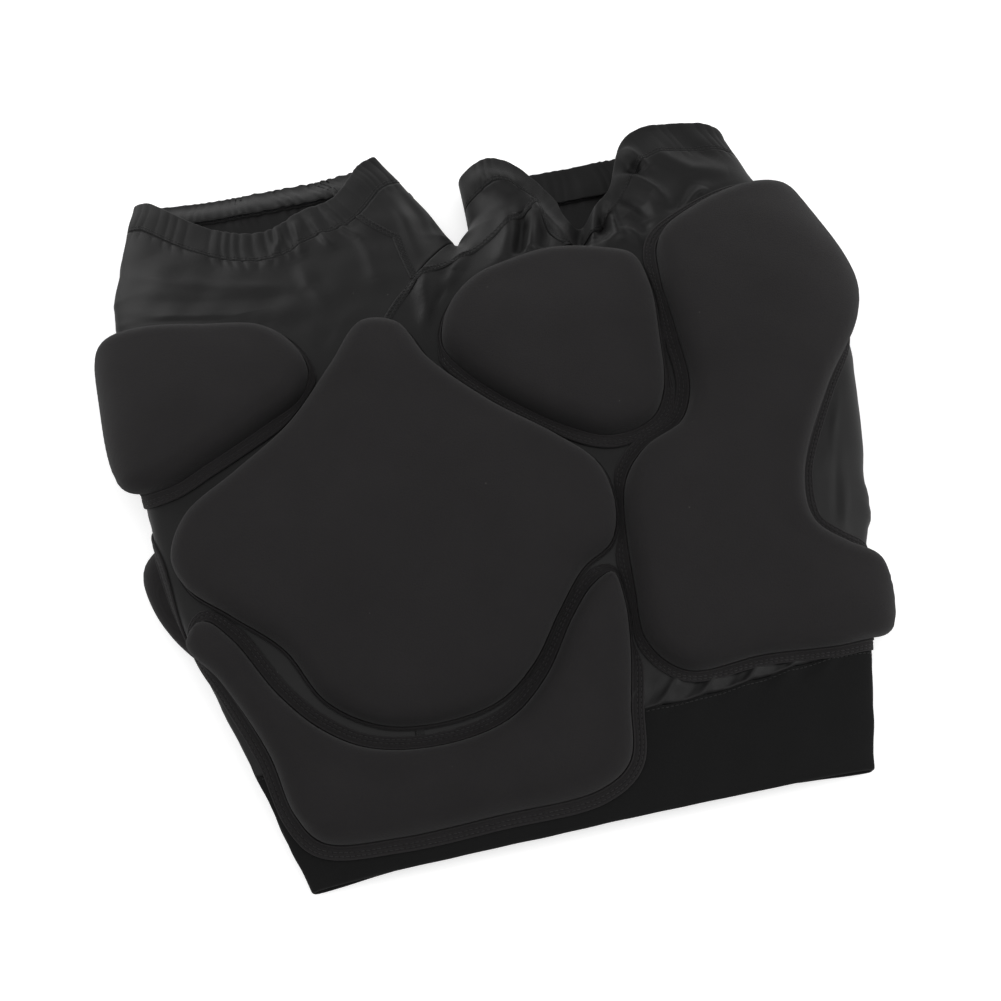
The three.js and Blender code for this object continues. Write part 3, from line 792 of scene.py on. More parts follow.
class NodeTree:
    """A small helper that adds and links nodes by name."""

    def __init__(self, tree: bpy.types.NodeTree) -> None:
        """Keep the tree to work in."""
        self.tree = tree

    def add(self, kind: str, inputs: Optional[dict] = None, **settings: object) -> bpy.types.Node:
        """Add a node.

        Args:
            kind: the node's type.
            inputs: values or sockets for its inputs, by name or number.
            settings: the node's own settings.

        Returns:
            The node.
        """
        node = self.tree.nodes.new(kind)
        for key, value in settings.items():
            setattr(node, key, value)
        for key, value in (inputs or {}).items():
            if isinstance(value, bpy.types.NodeSocket):
                self.tree.links.new(value, node.inputs[key])
            else:
                node.inputs[key].default_value = value
        return node

    def math(self, operation: str, a: object, b: object = 0.0) -> bpy.types.NodeSocket:
        """Add a maths node and give its output."""
        return self.add("ShaderNodeMath", {0: a, 1: b}, operation=operation).outputs[0]


def new_group(name: str, inputs: dict, outputs: tuple) -> tuple:
    """Start a shader node group.

    Args:
        name: the group's name.
        inputs: each input's name with its socket type and default value.
        outputs: the names of its value outputs.

    Returns:
        The group, its helper, its input node and its output node.
    """
    group = bpy.data.node_groups.new(name, "ShaderNodeTree")
    for label, (kind, value) in inputs.items():
        socket = group.interface.new_socket(label, in_out="INPUT", socket_type=kind)
        if value is not None:
            socket.default_value = value
    for label in outputs:
        group.interface.new_socket(label, in_out="OUTPUT", socket_type="NodeSocketFloat")
    tree = NodeTree(group)
    return group, tree, tree.add("NodeGroupInput"), tree.add("NodeGroupOutput")


@dataclass(frozen=True)
class Effects:
    """The node groups that the finishes share."""

    knit: bpy.types.NodeTree
    mottle: bpy.types.NodeTree
    lint: bpy.types.NodeTree

    @staticmethod
    def build() -> "Effects":
        """Make each group once."""
        return Effects(Effects.make_knit(), Effects.make_mottle(), Effects.make_lint())

    @staticmethod
    def make_knit() -> bpy.types.NodeTree:
        """Make the knit: columns of small V-shaped loops, as a height, and as painted shade that
        darkens the colour in the furrows between them and lifts it on the loops.

        Returns:
            The group.
        """
        group, t, source, sink = new_group(
            "knit_loops_and_painted_shade",
            {"Place": ("NodeSocketVector", None), "Pitch": ("NodeSocketFloat", 0.0007),
             "Loop Depth": ("NodeSocketFloat", 1.0)},
            ("Height", "Shade"))
        parts = t.add("ShaderNodeSeparateXYZ", {0: source.outputs["Place"]})
        across = t.math("DIVIDE", parts.outputs[0], source.outputs["Pitch"])
        along = t.math("DIVIDE", parts.outputs[1], source.outputs["Pitch"])
        column = t.math("ABSOLUTE", t.math("SINE", t.math("MULTIPLY", across, np.pi)))
        slant = t.math("MULTIPLY", column, 3.0)
        turns = t.math("ADD", t.math("MULTIPLY", along, 2 * np.pi), slant)
        row = t.math("MULTIPLY", t.math("SINE", turns), 0.25)
        loops = t.math("ADD", t.math("MULTIPLY", column, 0.6), row)
        height = t.math("MULTIPLY", t.math("ADD", loops, 0.25), source.outputs["Loop Depth"])
        t.tree.links.new(height, sink.inputs["Height"])
        # painted shade: the colour is darker in the furrows between the loops and lighter on their
        # tops, where shade and light would fall
        shade = t.math("ADD", t.math("MULTIPLY", loops, 0.35), 0.78)
        t.tree.links.new(shade, sink.inputs["Shade"])
        return group

    @staticmethod
    def make_mottle() -> bpy.types.NodeTree:
        """Make the mottle: broad and fine unevenness of the dye and the nap, around 1.

        Returns:
            The group.
        """
        group, t, source, sink = new_group(
            "dye_mottle",
            {"Place": ("NodeSocketVector", None), "Strength": ("NodeSocketFloat", 0.2)},
            ("Shade", "Nap"))
        broad = t.add("ShaderNodeTexNoise", {"Vector": source.outputs["Place"], "Scale": 28.0,
                                             "Detail": 3.0})
        fine = t.add("ShaderNodeTexNoise", {"Vector": source.outputs["Place"], "Scale": 900.0,
                                            "Detail": 2.0})
        both = t.math("ADD", t.math("MULTIPLY", broad.outputs[0], 0.55),
                      t.math("MULTIPLY", fine.outputs[0], 0.45))
        centred = t.math("MULTIPLY", t.math("SUBTRACT", both, 0.5), source.outputs["Strength"])
        t.tree.links.new(t.math("ADD", centred, 1.0), sink.inputs["Shade"])
        t.tree.links.new(fine.outputs[0], sink.inputs["Nap"])
        return group

    @staticmethod
    def make_lint() -> bpy.types.NodeTree:
        """Make the lint: rare pale specks of fluff that black cloth picks up.

        Returns:
            The group.
        """
        group, t, source, sink = new_group(
            "lint_specks",
            {"Place": ("NodeSocketVector", None), "Amount": ("NodeSocketFloat", 0.02)},
            ("Speck",))
        cells = t.add("ShaderNodeTexVoronoi", {"Vector": source.outputs["Place"], "Scale": 260.0})
        pick = t.add("ShaderNodeSeparateColor", {0: cells.outputs["Color"]})
        chosen = t.math("LESS_THAN", pick.outputs[0], source.outputs["Amount"])
        small = t.math("LESS_THAN", cells.outputs["Distance"], 0.07)
        t.tree.links.new(t.math("MULTIPLY", chosen, small), sink.inputs["Speck"])
        return group


NAP_GLOSS = 0.16  # how much the roughness varies with the nap
NAP_HEIGHT = 1.6  # the nap's height against the loops'
SHEEN_ROUGHNESS = 0.45
LINT_COLOUR = (0.09, 0.085, 0.08, 1.0)


@dataclass(frozen=True)
class Finish:
    """A cloth or foam finish: its dye, gloss, knit with painted shade between the loops, nap and
    wear.
    """

    name: str
    colour: tuple
    roughness: float
    sheen: float
    pitch: float
    bump: float
    specular: float = 0.35
    mottle: float = 0.25
    lint: float = 0.012
    rub: float = 0.35
    depth: float = 0.00012

    def make(self, effects: Effects) -> bpy.types.Material:
        """Build the material.

        Args:
            effects: the shared node groups.

        Returns:
            The material.
        """
        material = bpy.data.materials.new(self.name)
        material.use_nodes = True
        t = NodeTree(material.node_tree)
        shader = material.node_tree.nodes["Principled BSDF"]
        place = t.add("ShaderNodeAttribute", attribute_name="cloth_place").outputs["Vector"]
        rubbed = t.add("ShaderNodeAttribute", attribute_name="rub").outputs["Fac"]
        knit = t.add("ShaderNodeGroup", {}, node_tree=effects.knit)
        knit.inputs["Pitch"].default_value = self.pitch * MM
        mottle = t.add("ShaderNodeGroup", {}, node_tree=effects.mottle)
        mottle.inputs["Strength"].default_value = self.mottle
        lint = t.add("ShaderNodeGroup", {}, node_tree=effects.lint)
        lint.inputs["Amount"].default_value = self.lint
        for group in (knit, mottle, lint):
            t.tree.links.new(place, group.inputs["Place"])
        # the knit's painted furrow shade times the dye's mottle
        shade = t.math("MULTIPLY", knit.outputs["Shade"], mottle.outputs["Shade"])
        worn = t.math("MULTIPLY", t.math("MULTIPLY", rubbed, mottle.outputs["Nap"]), self.rub * 2)
        lift = t.math("ADD", shade, worn)
        base = t.add("ShaderNodeMix", {0: 1.0, 6: (*self.colour, 1.0)}, data_type="RGBA",
                     blend_type="MULTIPLY")
        grey = t.add("ShaderNodeCombineColor", {0: lift, 1: lift, 2: lift})
        t.tree.links.new(grey.outputs[0], base.inputs[7])
        fluff = t.add("ShaderNodeMix", {0: lint.outputs["Speck"], 6: base.outputs[2],
                                        7: LINT_COLOUR}, data_type="RGBA")
        t.tree.links.new(fluff.outputs[2], shader.inputs["Base Color"])
        uneven = t.math("MULTIPLY", mottle.outputs["Nap"], NAP_GLOSS)
        rough = t.math("ADD", uneven, self.roughness - NAP_GLOSS / 2)
        t.tree.links.new(rough, shader.inputs["Roughness"])
        nap = t.math("MULTIPLY", mottle.outputs["Nap"], NAP_HEIGHT)
        height = t.math("ADD", knit.outputs["Height"], nap)
        bump = t.add("ShaderNodeBump", {"Strength": self.bump, "Distance": self.depth,
                                        "Height": height})
        t.tree.links.new(bump.outputs[0], shader.inputs["Normal"])
        shader.inputs["Specular IOR Level"].default_value = self.specular
        shader.inputs["Sheen Weight"].default_value = self.sheen
        shader.inputs["Sheen Roughness"].default_value = SHEEN_ROUGHNESS
        return material


PAD_KNIT = Finish("pad_cover_knit", (0.0132, 0.0121, 0.0126), 0.88, 0.07, 0.5, 0.9, 0.2, 0.7)
SHELL_KNIT = Finish("shell_satin_knit", (0.0069, 0.0067, 0.0068), 0.46, 0.03, 0.55, 0.2, 0.21,
                    0.18, 0.006)
BAND_KNIT = Finish("waistband_plush", (0.0053, 0.0053, 0.0054), 0.95, 0.04, 0.6, 0.5, 0.2, 0.3)
CUFF_KNIT = Finish("cuff_knit", (0.0074, 0.0073, 0.0074), 0.54, 0.03, 0.55, 0.3, 0.2, 0.2, 0.006)
THREAD = Finish("stitching_thread", (0.0155, 0.0150, 0.0153), 0.5, 0.07, 0.25, 0.6, 0.3, 0.3, 0.0)
ELASTIC = Finish("elastic_tape", (0.028, 0.028, 0.03), 0.75, 0.1, 1.1, 0.8, 0.3, 0.3)
FOAM = Finish("closed_cell_foam", (0.06, 0.06, 0.064), 0.95, 0.0, 1.4, 0.3, 0.2, 0.4, 0.0)


# ---- Mesh making ------------------------------------------------------------

@dataclass
class Workshop:
    """Makes the pieces' meshes and keeps each finish's material."""

    effects: Effects
    made: dict = field(default_factory=dict)

    def material(self, finish: Finish) -> bpy.types.Material:
        """Give a finish's material, made the first time it is asked for.

        Args:
            finish: the finish.

        Returns:
            Its material.
        """
        if finish.name not in self.made:
            self.made[finish.name] = finish.make(self.effects)
        return self.made[finish.name]

    def piece(self, name: str, points: Array, faces: list, finish: Finish, slot: str,
              place: Array, rub: Optional[Array] = None) -> bpy.types.Object:
        """Make a piece that rides on the garment's one body.

        Args:
            name: the piece's name.
            points: its points in the pattern frame, in millimetres.
            faces: arrays of quads and triangles.
            finish: its finish.
            slot: not used.
            place: each point's flat cloth place in millimetres, for the weave.
            rub: how rubbed each point is, from 0 to 1.

        Returns:
            The object.
        """
        mesh = bpy.data.meshes.new(name)
        mesh.vertices.add(len(points))
        mesh.vertices.foreach_set("co", ((points + TO_ROW) * MM).astype(np.float32).ravel())
        corners = np.concatenate([f.ravel() for f in faces]).astype(np.int32)
        sizes = np.concatenate([np.full(len(f), f.shape[1]) for f in faces])
        mesh.loops.add(len(corners))
        mesh.loops.foreach_set("vertex_index", corners)
        mesh.polygons.add(len(sizes))
        starts = np.concatenate([[0], np.cumsum(sizes)[:-1]]).astype(np.int32)
        mesh.polygons.foreach_set("loop_start", starts)
        mesh.update(calc_edges=True)
        mesh.validate()
        mesh.shade_smooth()
        flat = mesh.attributes.new("cloth_place", "FLOAT_VECTOR", "POINT")
        flat.data.foreach_set("vector", (place * MM).astype(np.float32).ravel())
        worn = mesh.attributes.new("rub", "FLOAT", "POINT")
        rub = np.zeros(len(points)) if rub is None else rub
        worn.data.foreach_set("value", rub.astype(np.float32))
        mesh.materials.append(self.material(finish))
        thing = bpy.data.objects.new(name, mesh)
        bpy.context.scene.collection.objects.link(thing)
        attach(thing, "root")
        log.info("%s: %d points", name, len(points))
        return thing


def triangles(points: Array, faces: list) -> Iterator:
    """Give the corners of the faces' triangles, batch by batch.

    Args:
        points: its points in millimetres.
        faces: arrays of quads and triangles.

    Returns:
        Three arrays of corners for each batch.
    """
    for group in faces:
        for k in range(1, group.shape[1] - 1):
            yield points[group[:, 0]], points[group[:, k]], points[group[:, k + 1]]


def outward(points: Array, faces: list) -> list:
    """Turn a closed mesh's faces so that they look out.

    Args:
        points: its points.
        faces: arrays of quads and triangles.

    Returns:
        The faces, all turned over if they looked in.
    """
    volume = sum(float((a * np.cross(b, c)).sum()) for a, b, c in triangles(points, faces))
    return faces if volume > 0 else [group[:, ::-1] for group in faces]


def cloth_area(points: Array, faces: list) -> float:
    """Give half the area of a closed sheet's surface, in square metres.

    Args:
        points: its points in millimetres.
        faces: arrays of quads and triangles.

    Returns:
        The area.
    """
    total = 0.0
    for a, b, c in triangles(points, faces):
        total += float(np.linalg.norm(np.cross(b - a, c - a), axis=1).sum()) / 2
    return total / 2 * MM * MM


def wall_quads(rings: int, around: int, closed: bool = False) -> Array:
    """Give the quads between rings of points.

    Args:
        rings: how many rings there are.
        around: how many points each has.
        closed: whether the last ring joins the first.

    Returns:
        Four point numbers for each quad.
    """
    index = np.arange(rings * around).reshape(rings, around)
    if closed:
        index = np.vstack([index, index[:1]])
    beside = np.roll(index, -1, axis=1)
    return np.stack([index[:-1], index[1:], beside[1:], beside[:-1]], axis=-1).reshape(-1, 4)


def end_faces(rings: int, around: int) -> Array:
    """Give the faces that close the first and the last ring."""
    first = np.arange(around)
    return np.array([first, first[::-1] + (rings - 1) * around])


@dataclass
class Ribbon:
    """A closed solid made by sweeping a closed [v, depth] profile along u."""

    surface: Surface
    stops: Array
    profile: Array
    closed: bool
    step: tuple
    probe: tuple
    facing: int

    def sign(self) -> float:
        """Give the sign that turns the normals outward, read at the probe."""
        spot = [np.array([float(p)]) for p in self.probe]
        return self.facing * np.sign(self.normals(*spot)[0, 2])

    def normals(self, u: Array, v: Array) -> Array:
        """Give the surface's unit normals, not yet turned outward.

        Args:
            u: places round.
            v: places along.

        Returns:
            One normal for each place.
        """
        du, dv = self.step
        along_u = self.surface(u + du, v) - self.surface(u - du, v)
        along_v = self.surface(u, v + dv) - self.surface(u, v - dv)
        return unit(np.cross(along_u, along_v))

    def build(self) -> tuple:
        """Make the solid.

        Returns:
            Its points, its faces and each point's cloth place.
        """
        rows, back = np.unique(np.round(self.profile[:, 0], 6), return_inverse=True)
        stretch = self.surface(*np.meshgrid(self.stops, rows, indexing="ij"))
        ahead = np.vstack([stretch[-2:], stretch, stretch[:2]]) if self.closed else stretch
        along_u = np.gradient(ahead, axis=0)[2:-2] if self.closed else np.gradient(ahead, axis=0)
        facing = unit(np.cross(along_u, np.gradient(stretch, axis=1)))
        base, normal = stretch[:, back], facing[:, back]
        grid = base - self.sign() * self.profile[None, :, 1:] * normal
        grid[..., 2] = np.maximum(grid[..., 2], FLOOR_CLEAR)
        n, k = grid.shape[:2]
        faces = [wall_quads(n, k, self.closed)]
        if not self.closed:
            m = np.arange(k // 2 - 1)
            cap = np.stack([m, m + 1, k - 2 - m, k - 1 - m], axis=1)
            faces += [cap, cap[:, ::-1] + (n - 1) * k]
        points = grid.reshape(-1, 3)
        gap_u, gap_v = (np.median(np.linalg.norm(np.diff(base, axis=way), axis=2), axis=1 - way)
                        for way in (0, 1))
        x = np.concatenate([[0], np.cumsum(gap_u)])[:, None]
        y = np.concatenate([[0], np.cumsum(gap_v * np.sign(np.diff(self.profile[:, 0])))])
        place = np.stack(np.broadcast_arrays(x, y, self.profile[:, 1]), -1)
        return points, outward(points, faces), place.reshape(-1, 3)


def sheet_profile(rows: Array, thickness: float) -> Array:
    """Give a profile that runs along the outside and back along the inside.

    Args:
        rows: places along.
        thickness: the cloth's thickness.

    Returns:
        The closed profile.
    """
    there = np.stack([rows, np.zeros(len(rows))], axis=1)
    back = np.stack([rows[::-1], np.full(len(rows), thickness)], axis=1)
    return np.vstack([there, back])


def sleeve_profile(sewn: float, free: float, fabric: float, total: float, count: int) -> Array:
    """Give the profile of a band's sleeve, folded at its free edge.

    Args:
        sewn: where it is sewn on, in millimetres along.
        free: its free edge.
        fabric: its cloth's thickness.
        total: the whole band's thickness.
        count: how many places along each face.

    Returns:
        The closed profile.
    """
    way = np.sign(free - sewn)

    def path(inset: float) -> Array:
        """Follow one face, the fold and the other face, at an inset.

        Args:
            inset: how far in from the outside.

        Returns:
            The path's points.
        """
        radius = total / 2 - inset
        start = free - way * total / 2
        places = np.linspace(sewn, start, count)
        turn = np.linspace(0, np.pi, 9)[1:-1]
        round_x = start + way * radius * np.sin(turn)
        fold = np.stack([round_x, total / 2 - radius * np.cos(turn)], 1)
        one = np.stack([places, np.full(count, inset)], 1)
        other = np.stack([places[::-1], np.full(count, total - inset)], 1)
        return np.vstack([one, fold, other])

    return np.vstack([path(0.0), path(fabric)[::-1]])


# ---- Pads -------------------------------------------------------------------

PATTERNS = {
    "right_hip_pad": (
        (134, 142), (160, 161), (204, 179), (232, 181), (246, 161), (257, 114), (240, 68),
        (205, 18), (176, -34), (174, -62), (190, -76), (206, -84), (210, -106), (202, -127),
        (180, -134), (125, -132), (80, -132), (61, -112), (61, -84), (70, -22), (86, -3),
        (112, 10), (124, 32), (126, 70), (127, 112)),
    "tailbone_pad": (
        (-195, -54), (-187, -45), (-173, -60), (-153, -98), (-133, -122), (-108, -138),
        (-68, -145), (-28, -139), (-1, -120), (22, -91), (37, -76), (50, -71), (53, -88),
        (50, -115), (43, -145), (35, -176), (15, -188), (-44, -190), (-102, -190), (-144, -183),
        (-156, -165), (-164, -128), (-181, -83)),
    "left_thigh_pad": (
        (-212, 158), (-187, 154), (-150, 142), (-118, 131), (-102, 113), (-97, 94), (-105, 77),
        (-128, 65), (-166, 50), (-192, 43), (-214, 50), (-226, 76), (-228, 110), (-225, 142)),
    "right_thigh_pad": (
        (-14, 90), (-12, 104), (-2, 121), (14, 134), (36, 141), (62, 145), (95, 138), (114, 128),
        (118, 105), (114, 68), (107, 32), (95, 16), (70, 11), (46, 22), (16, 47), (-4, 70)),
    "seat_pad": (
        (-60, 117), (-38, 111), (-25, 82), (4, 46), (38, 15), (57, -7), (61, -32), (54, -53),
        (34, -65), (14, -87), (-5, -110), (-30, -127), (-66, -132), (-100, -126), (-127, -107),
        (-144, -74), (-170, -47), (-191, -24), (-196, -3), (-184, 19), (-151, 37), (-116, 58),
        (-85, 90)),
}


def mirrored_pattern(pattern: tuple) -> tuple:
    """Mirror a pattern across the garment's slanted middle line.

    Args:
        pattern: its points.

    Returns:
        The mirrored points.
    """
    at, along = np.array([-73.0, -10.0]), unit(np.array([0.08, 1.0]))
    offset = np.array(pattern, float) - at
    return tuple(map(tuple, 2 * (offset @ along)[:, None] * along - offset + at))


PATTERNS["left_hip_pad"] = mirrored_pattern(PATTERNS["right_hip_pad"])

OUTLINE_STEP = 2.4  # how far apart a pad's outline points are
LID_FILL, FOAM_FILL, BASE_FILL = (2.8, 1.6), (9.0, 4.0), (9.0, 5.0)  # spacing, room at the edge

# Each pad's sewn margin: towards the waist, and along its other edges.
MARGINS = {
    "right_hip_pad": (6.4, 8.4), "tailbone_pad": (8.4, 8.0), "left_thigh_pad": (8.6, 3.4),
    "right_thigh_pad": (8.2, 2.6), "seat_pad": (2.3, 2.3), "left_hip_pad": (8.6, 8.6),
}


def smooth_outline(pattern: tuple, spacing: float) -> Array:
    """Give a closed smooth curve through a pattern's points.

    Args:
        pattern: its points.
        spacing: how far apart the curve's points are.

    Returns:
        Evenly spaced points, anticlockwise.
    """
    p = np.array(pattern, float)
    before, start, end, after = np.roll(p, 1, 0), p, np.roll(p, -1, 0), np.roll(p, -2, 0)
    d0, d1, d2 = (np.sqrt(np.linalg.norm(b - a, axis=1))[:, None]
                  for a, b in ((before, start), (start, end), (end, after)))
    m0 = ((start - before) / d0 - (end - before) / (d0 + d1) + (end - start) / d1) * d1
    m1 = ((end - start) / d1 - (after - start) / (d1 + d2) + (after - end) / d2) * d1
    t = np.linspace(0, 1, 30, endpoint=False)[None, :, None]
    start, end, m0, m1 = start[:, None], end[:, None], m0[:, None], m1[:, None]
    line = (start * (2 * t**3 - 3 * t**2 + 1) + m0 * (t**3 - 2 * t**2 + t)
            + end * (3 * t**2 - 2 * t**3) + m1 * (t**3 - t**2)).reshape(-1, 2)
    loop = np.vstack([line, line[:1]])
    along = distance_along(loop)
    count = int(round(along[-1] / spacing))
    at = np.linspace(0, along[-1], count, endpoint=False)
    out = np.stack([np.interp(at, along, loop[:, k]) for k in range(2)], axis=1)
    area = (out[:, 0] * np.roll(out[:, 1], -1) - out[:, 1] * np.roll(out[:, 0], -1)).sum()
    return out if area > 0 else out[::-1]


def outline_distance(points: Array, outline: Array) -> Array:
    """Give each point's distance to an outline, positive inside it.

    Args:
        points: flat places.
        outline: a closed line of points.

    Returns:
        The signed distances.
    """
    out = np.empty(len(points))
    a, b = outline, np.roll(outline, -1, 0)
    d = b - a
    size = (d * d).sum(1)
    for start in range(0, len(points), 4000):
        p = points[start:start + 4000, None]
        t = np.clip(((p - a) * d).sum(2) / size, 0, 1)
        gap = np.linalg.norm(p - a - t[..., None] * d, axis=2).min(1)
        x, y = p[..., 0], p[..., 1]
        crosses = (a[:, 1] > y) != (b[:, 1] > y)
        rise = np.where(np.abs(d[:, 1]) < 1e-9, 1e-9, d[:, 1])
        hit = crosses & (x < d[:, 0] * (y - a[:, 1]) / rise + a[:, 0])
        out[start:start + 4000] = np.where(hit.sum(1) % 2 == 1, gap, -gap)
    return out


def outline_normals(outline: Array) -> Array:
    """Give an anticlockwise outline's outward normals, slightly smoothed.

    Args:
        outline: a closed line of points.

    Returns:
        One normal for each point.
    """
    way = np.roll(outline, -1, 0) - np.roll(outline, 1, 0)
    normal = unit(np.stack([way[:, 1], -way[:, 0]], axis=1))
    for _ in range(2):
        normal = unit(np.roll(normal, 1, 0) + 2 * normal + np.roll(normal, -1, 0))
    return normal


def fill_outline(outline: Array, spacing: float, clear: float) -> tuple:
    """Fill an outline with triangles.

    Args:
        outline: a closed line of points.
        spacing: how far apart the inner points are.
        clear: how far from the outline they start.

    Returns:
        The inner points, and triangles over the outline's points and then the inner ones.
    """
    low, high = outline.min(0), outline.max(0)
    rise = spacing * np.sqrt(3) / 2
    rows = np.arange(low[1], high[1], rise)
    grid = np.vstack([at_height(np.arange(low[0] + (i % 2) * spacing / 2, high[0], spacing), y)
                      for i, y in enumerate(rows)])
    inner = grid[outline_distance(grid, outline) > clear]
    everything = np.vstack([outline, inner])
    points, _, faces, origin, _, _ = delaunay_2d_cdt(
        [Vector(p) for p in everything], [], [list(range(len(outline)))], 1, 1e-6)
    kept = np.array([ids[0] if ids else -1 for ids in origin])
    triangles = kept[np.array([f for f in faces if len(f) == 3], int)]
    triangles = triangles[(triangles >= 0).all(1)]
    return inner, triangles


def close_pad(rings: list, inner: Array, lid: Array) -> tuple:
    """Close a stack of rings with a lid over the last and a base under the first.

    Args:
        rings: each ring's flat places with their heights, from the base up.
        inner: the lid's inner points.
        lid: the lid's triangles, over the last ring's points and then the inner ones.

    Returns:
        All the points and the faces.
    """
    n, walls = len(rings[0]), len(rings) * len(rings[0])
    under, base = fill_outline(rings[0][:, :2], *BASE_FILL)
    bottom = np.where(base < n, base, base - n + walls + len(inner))[:, ::-1]
    flat = np.vstack([*rings, inner, at_height(under, rings[0][0, 2])])
    quads = wall_quads(len(rings), n)[:, [0, 3, 2, 1]]
    return flat, [quads, np.vstack([lid + walls - n, bottom])]


@dataclass
class PadField:
    """Where the pads lie on the pattern, and how near a place is to one."""

    chart: Chart
    outlines: dict
    flange: float = 8.6
    step: float = 4.0

    def __post_init__(self) -> None:
        """Fill a grid with the distance to the nearest pad, positive inside it."""
        rows = np.arange(self.chart.y_min, self.chart.garment.hem_y + 10, self.step)
        columns = np.arange(self.chart.q_min, 410, self.step)
        q, y = np.meshgrid(columns, rows)
        flat = np.stack([q.ravel(), y.ravel()], 1)
        best = np.max([outline_distance(flat, o[::4]) for o in self.outlines.values()], axis=0)
        self.grid = best.reshape(q.shape)

    def covered(self, x: Array, y: Array, layer: Layer) -> Array:
        """Tell how much a pad covers each place.

        Args:
            x: places across.
            y: places along.
            layer: the back or the front layer.

        Returns:
            1 under a pad or its margin, falling to 0 a little way off.
        """
        shape = x.shape
        x, y = np.ravel(x), np.ravel(y + 0 * x)
        q = self.chart.pattern_x(x, y, layer)
        j = np.clip((q - self.chart.q_min) / self.step, 0, self.grid.shape[1] - 1.001)
        i = np.clip((y - self.chart.y_min) / self.step, 0, self.grid.shape[0] - 1.001)
        i0, j0 = i.astype(int), j.astype(int)
        low = lerp(self.grid[i0, j0], self.grid[i0, j0 + 1], j - j0)
        high = lerp(self.grid[i0 + 1, j0], self.grid[i0 + 1, j0 + 1], j - j0)
        return smoothstep(lerp(low, high, i - i0), -self.flange - 5, -self.flange).reshape(shape)


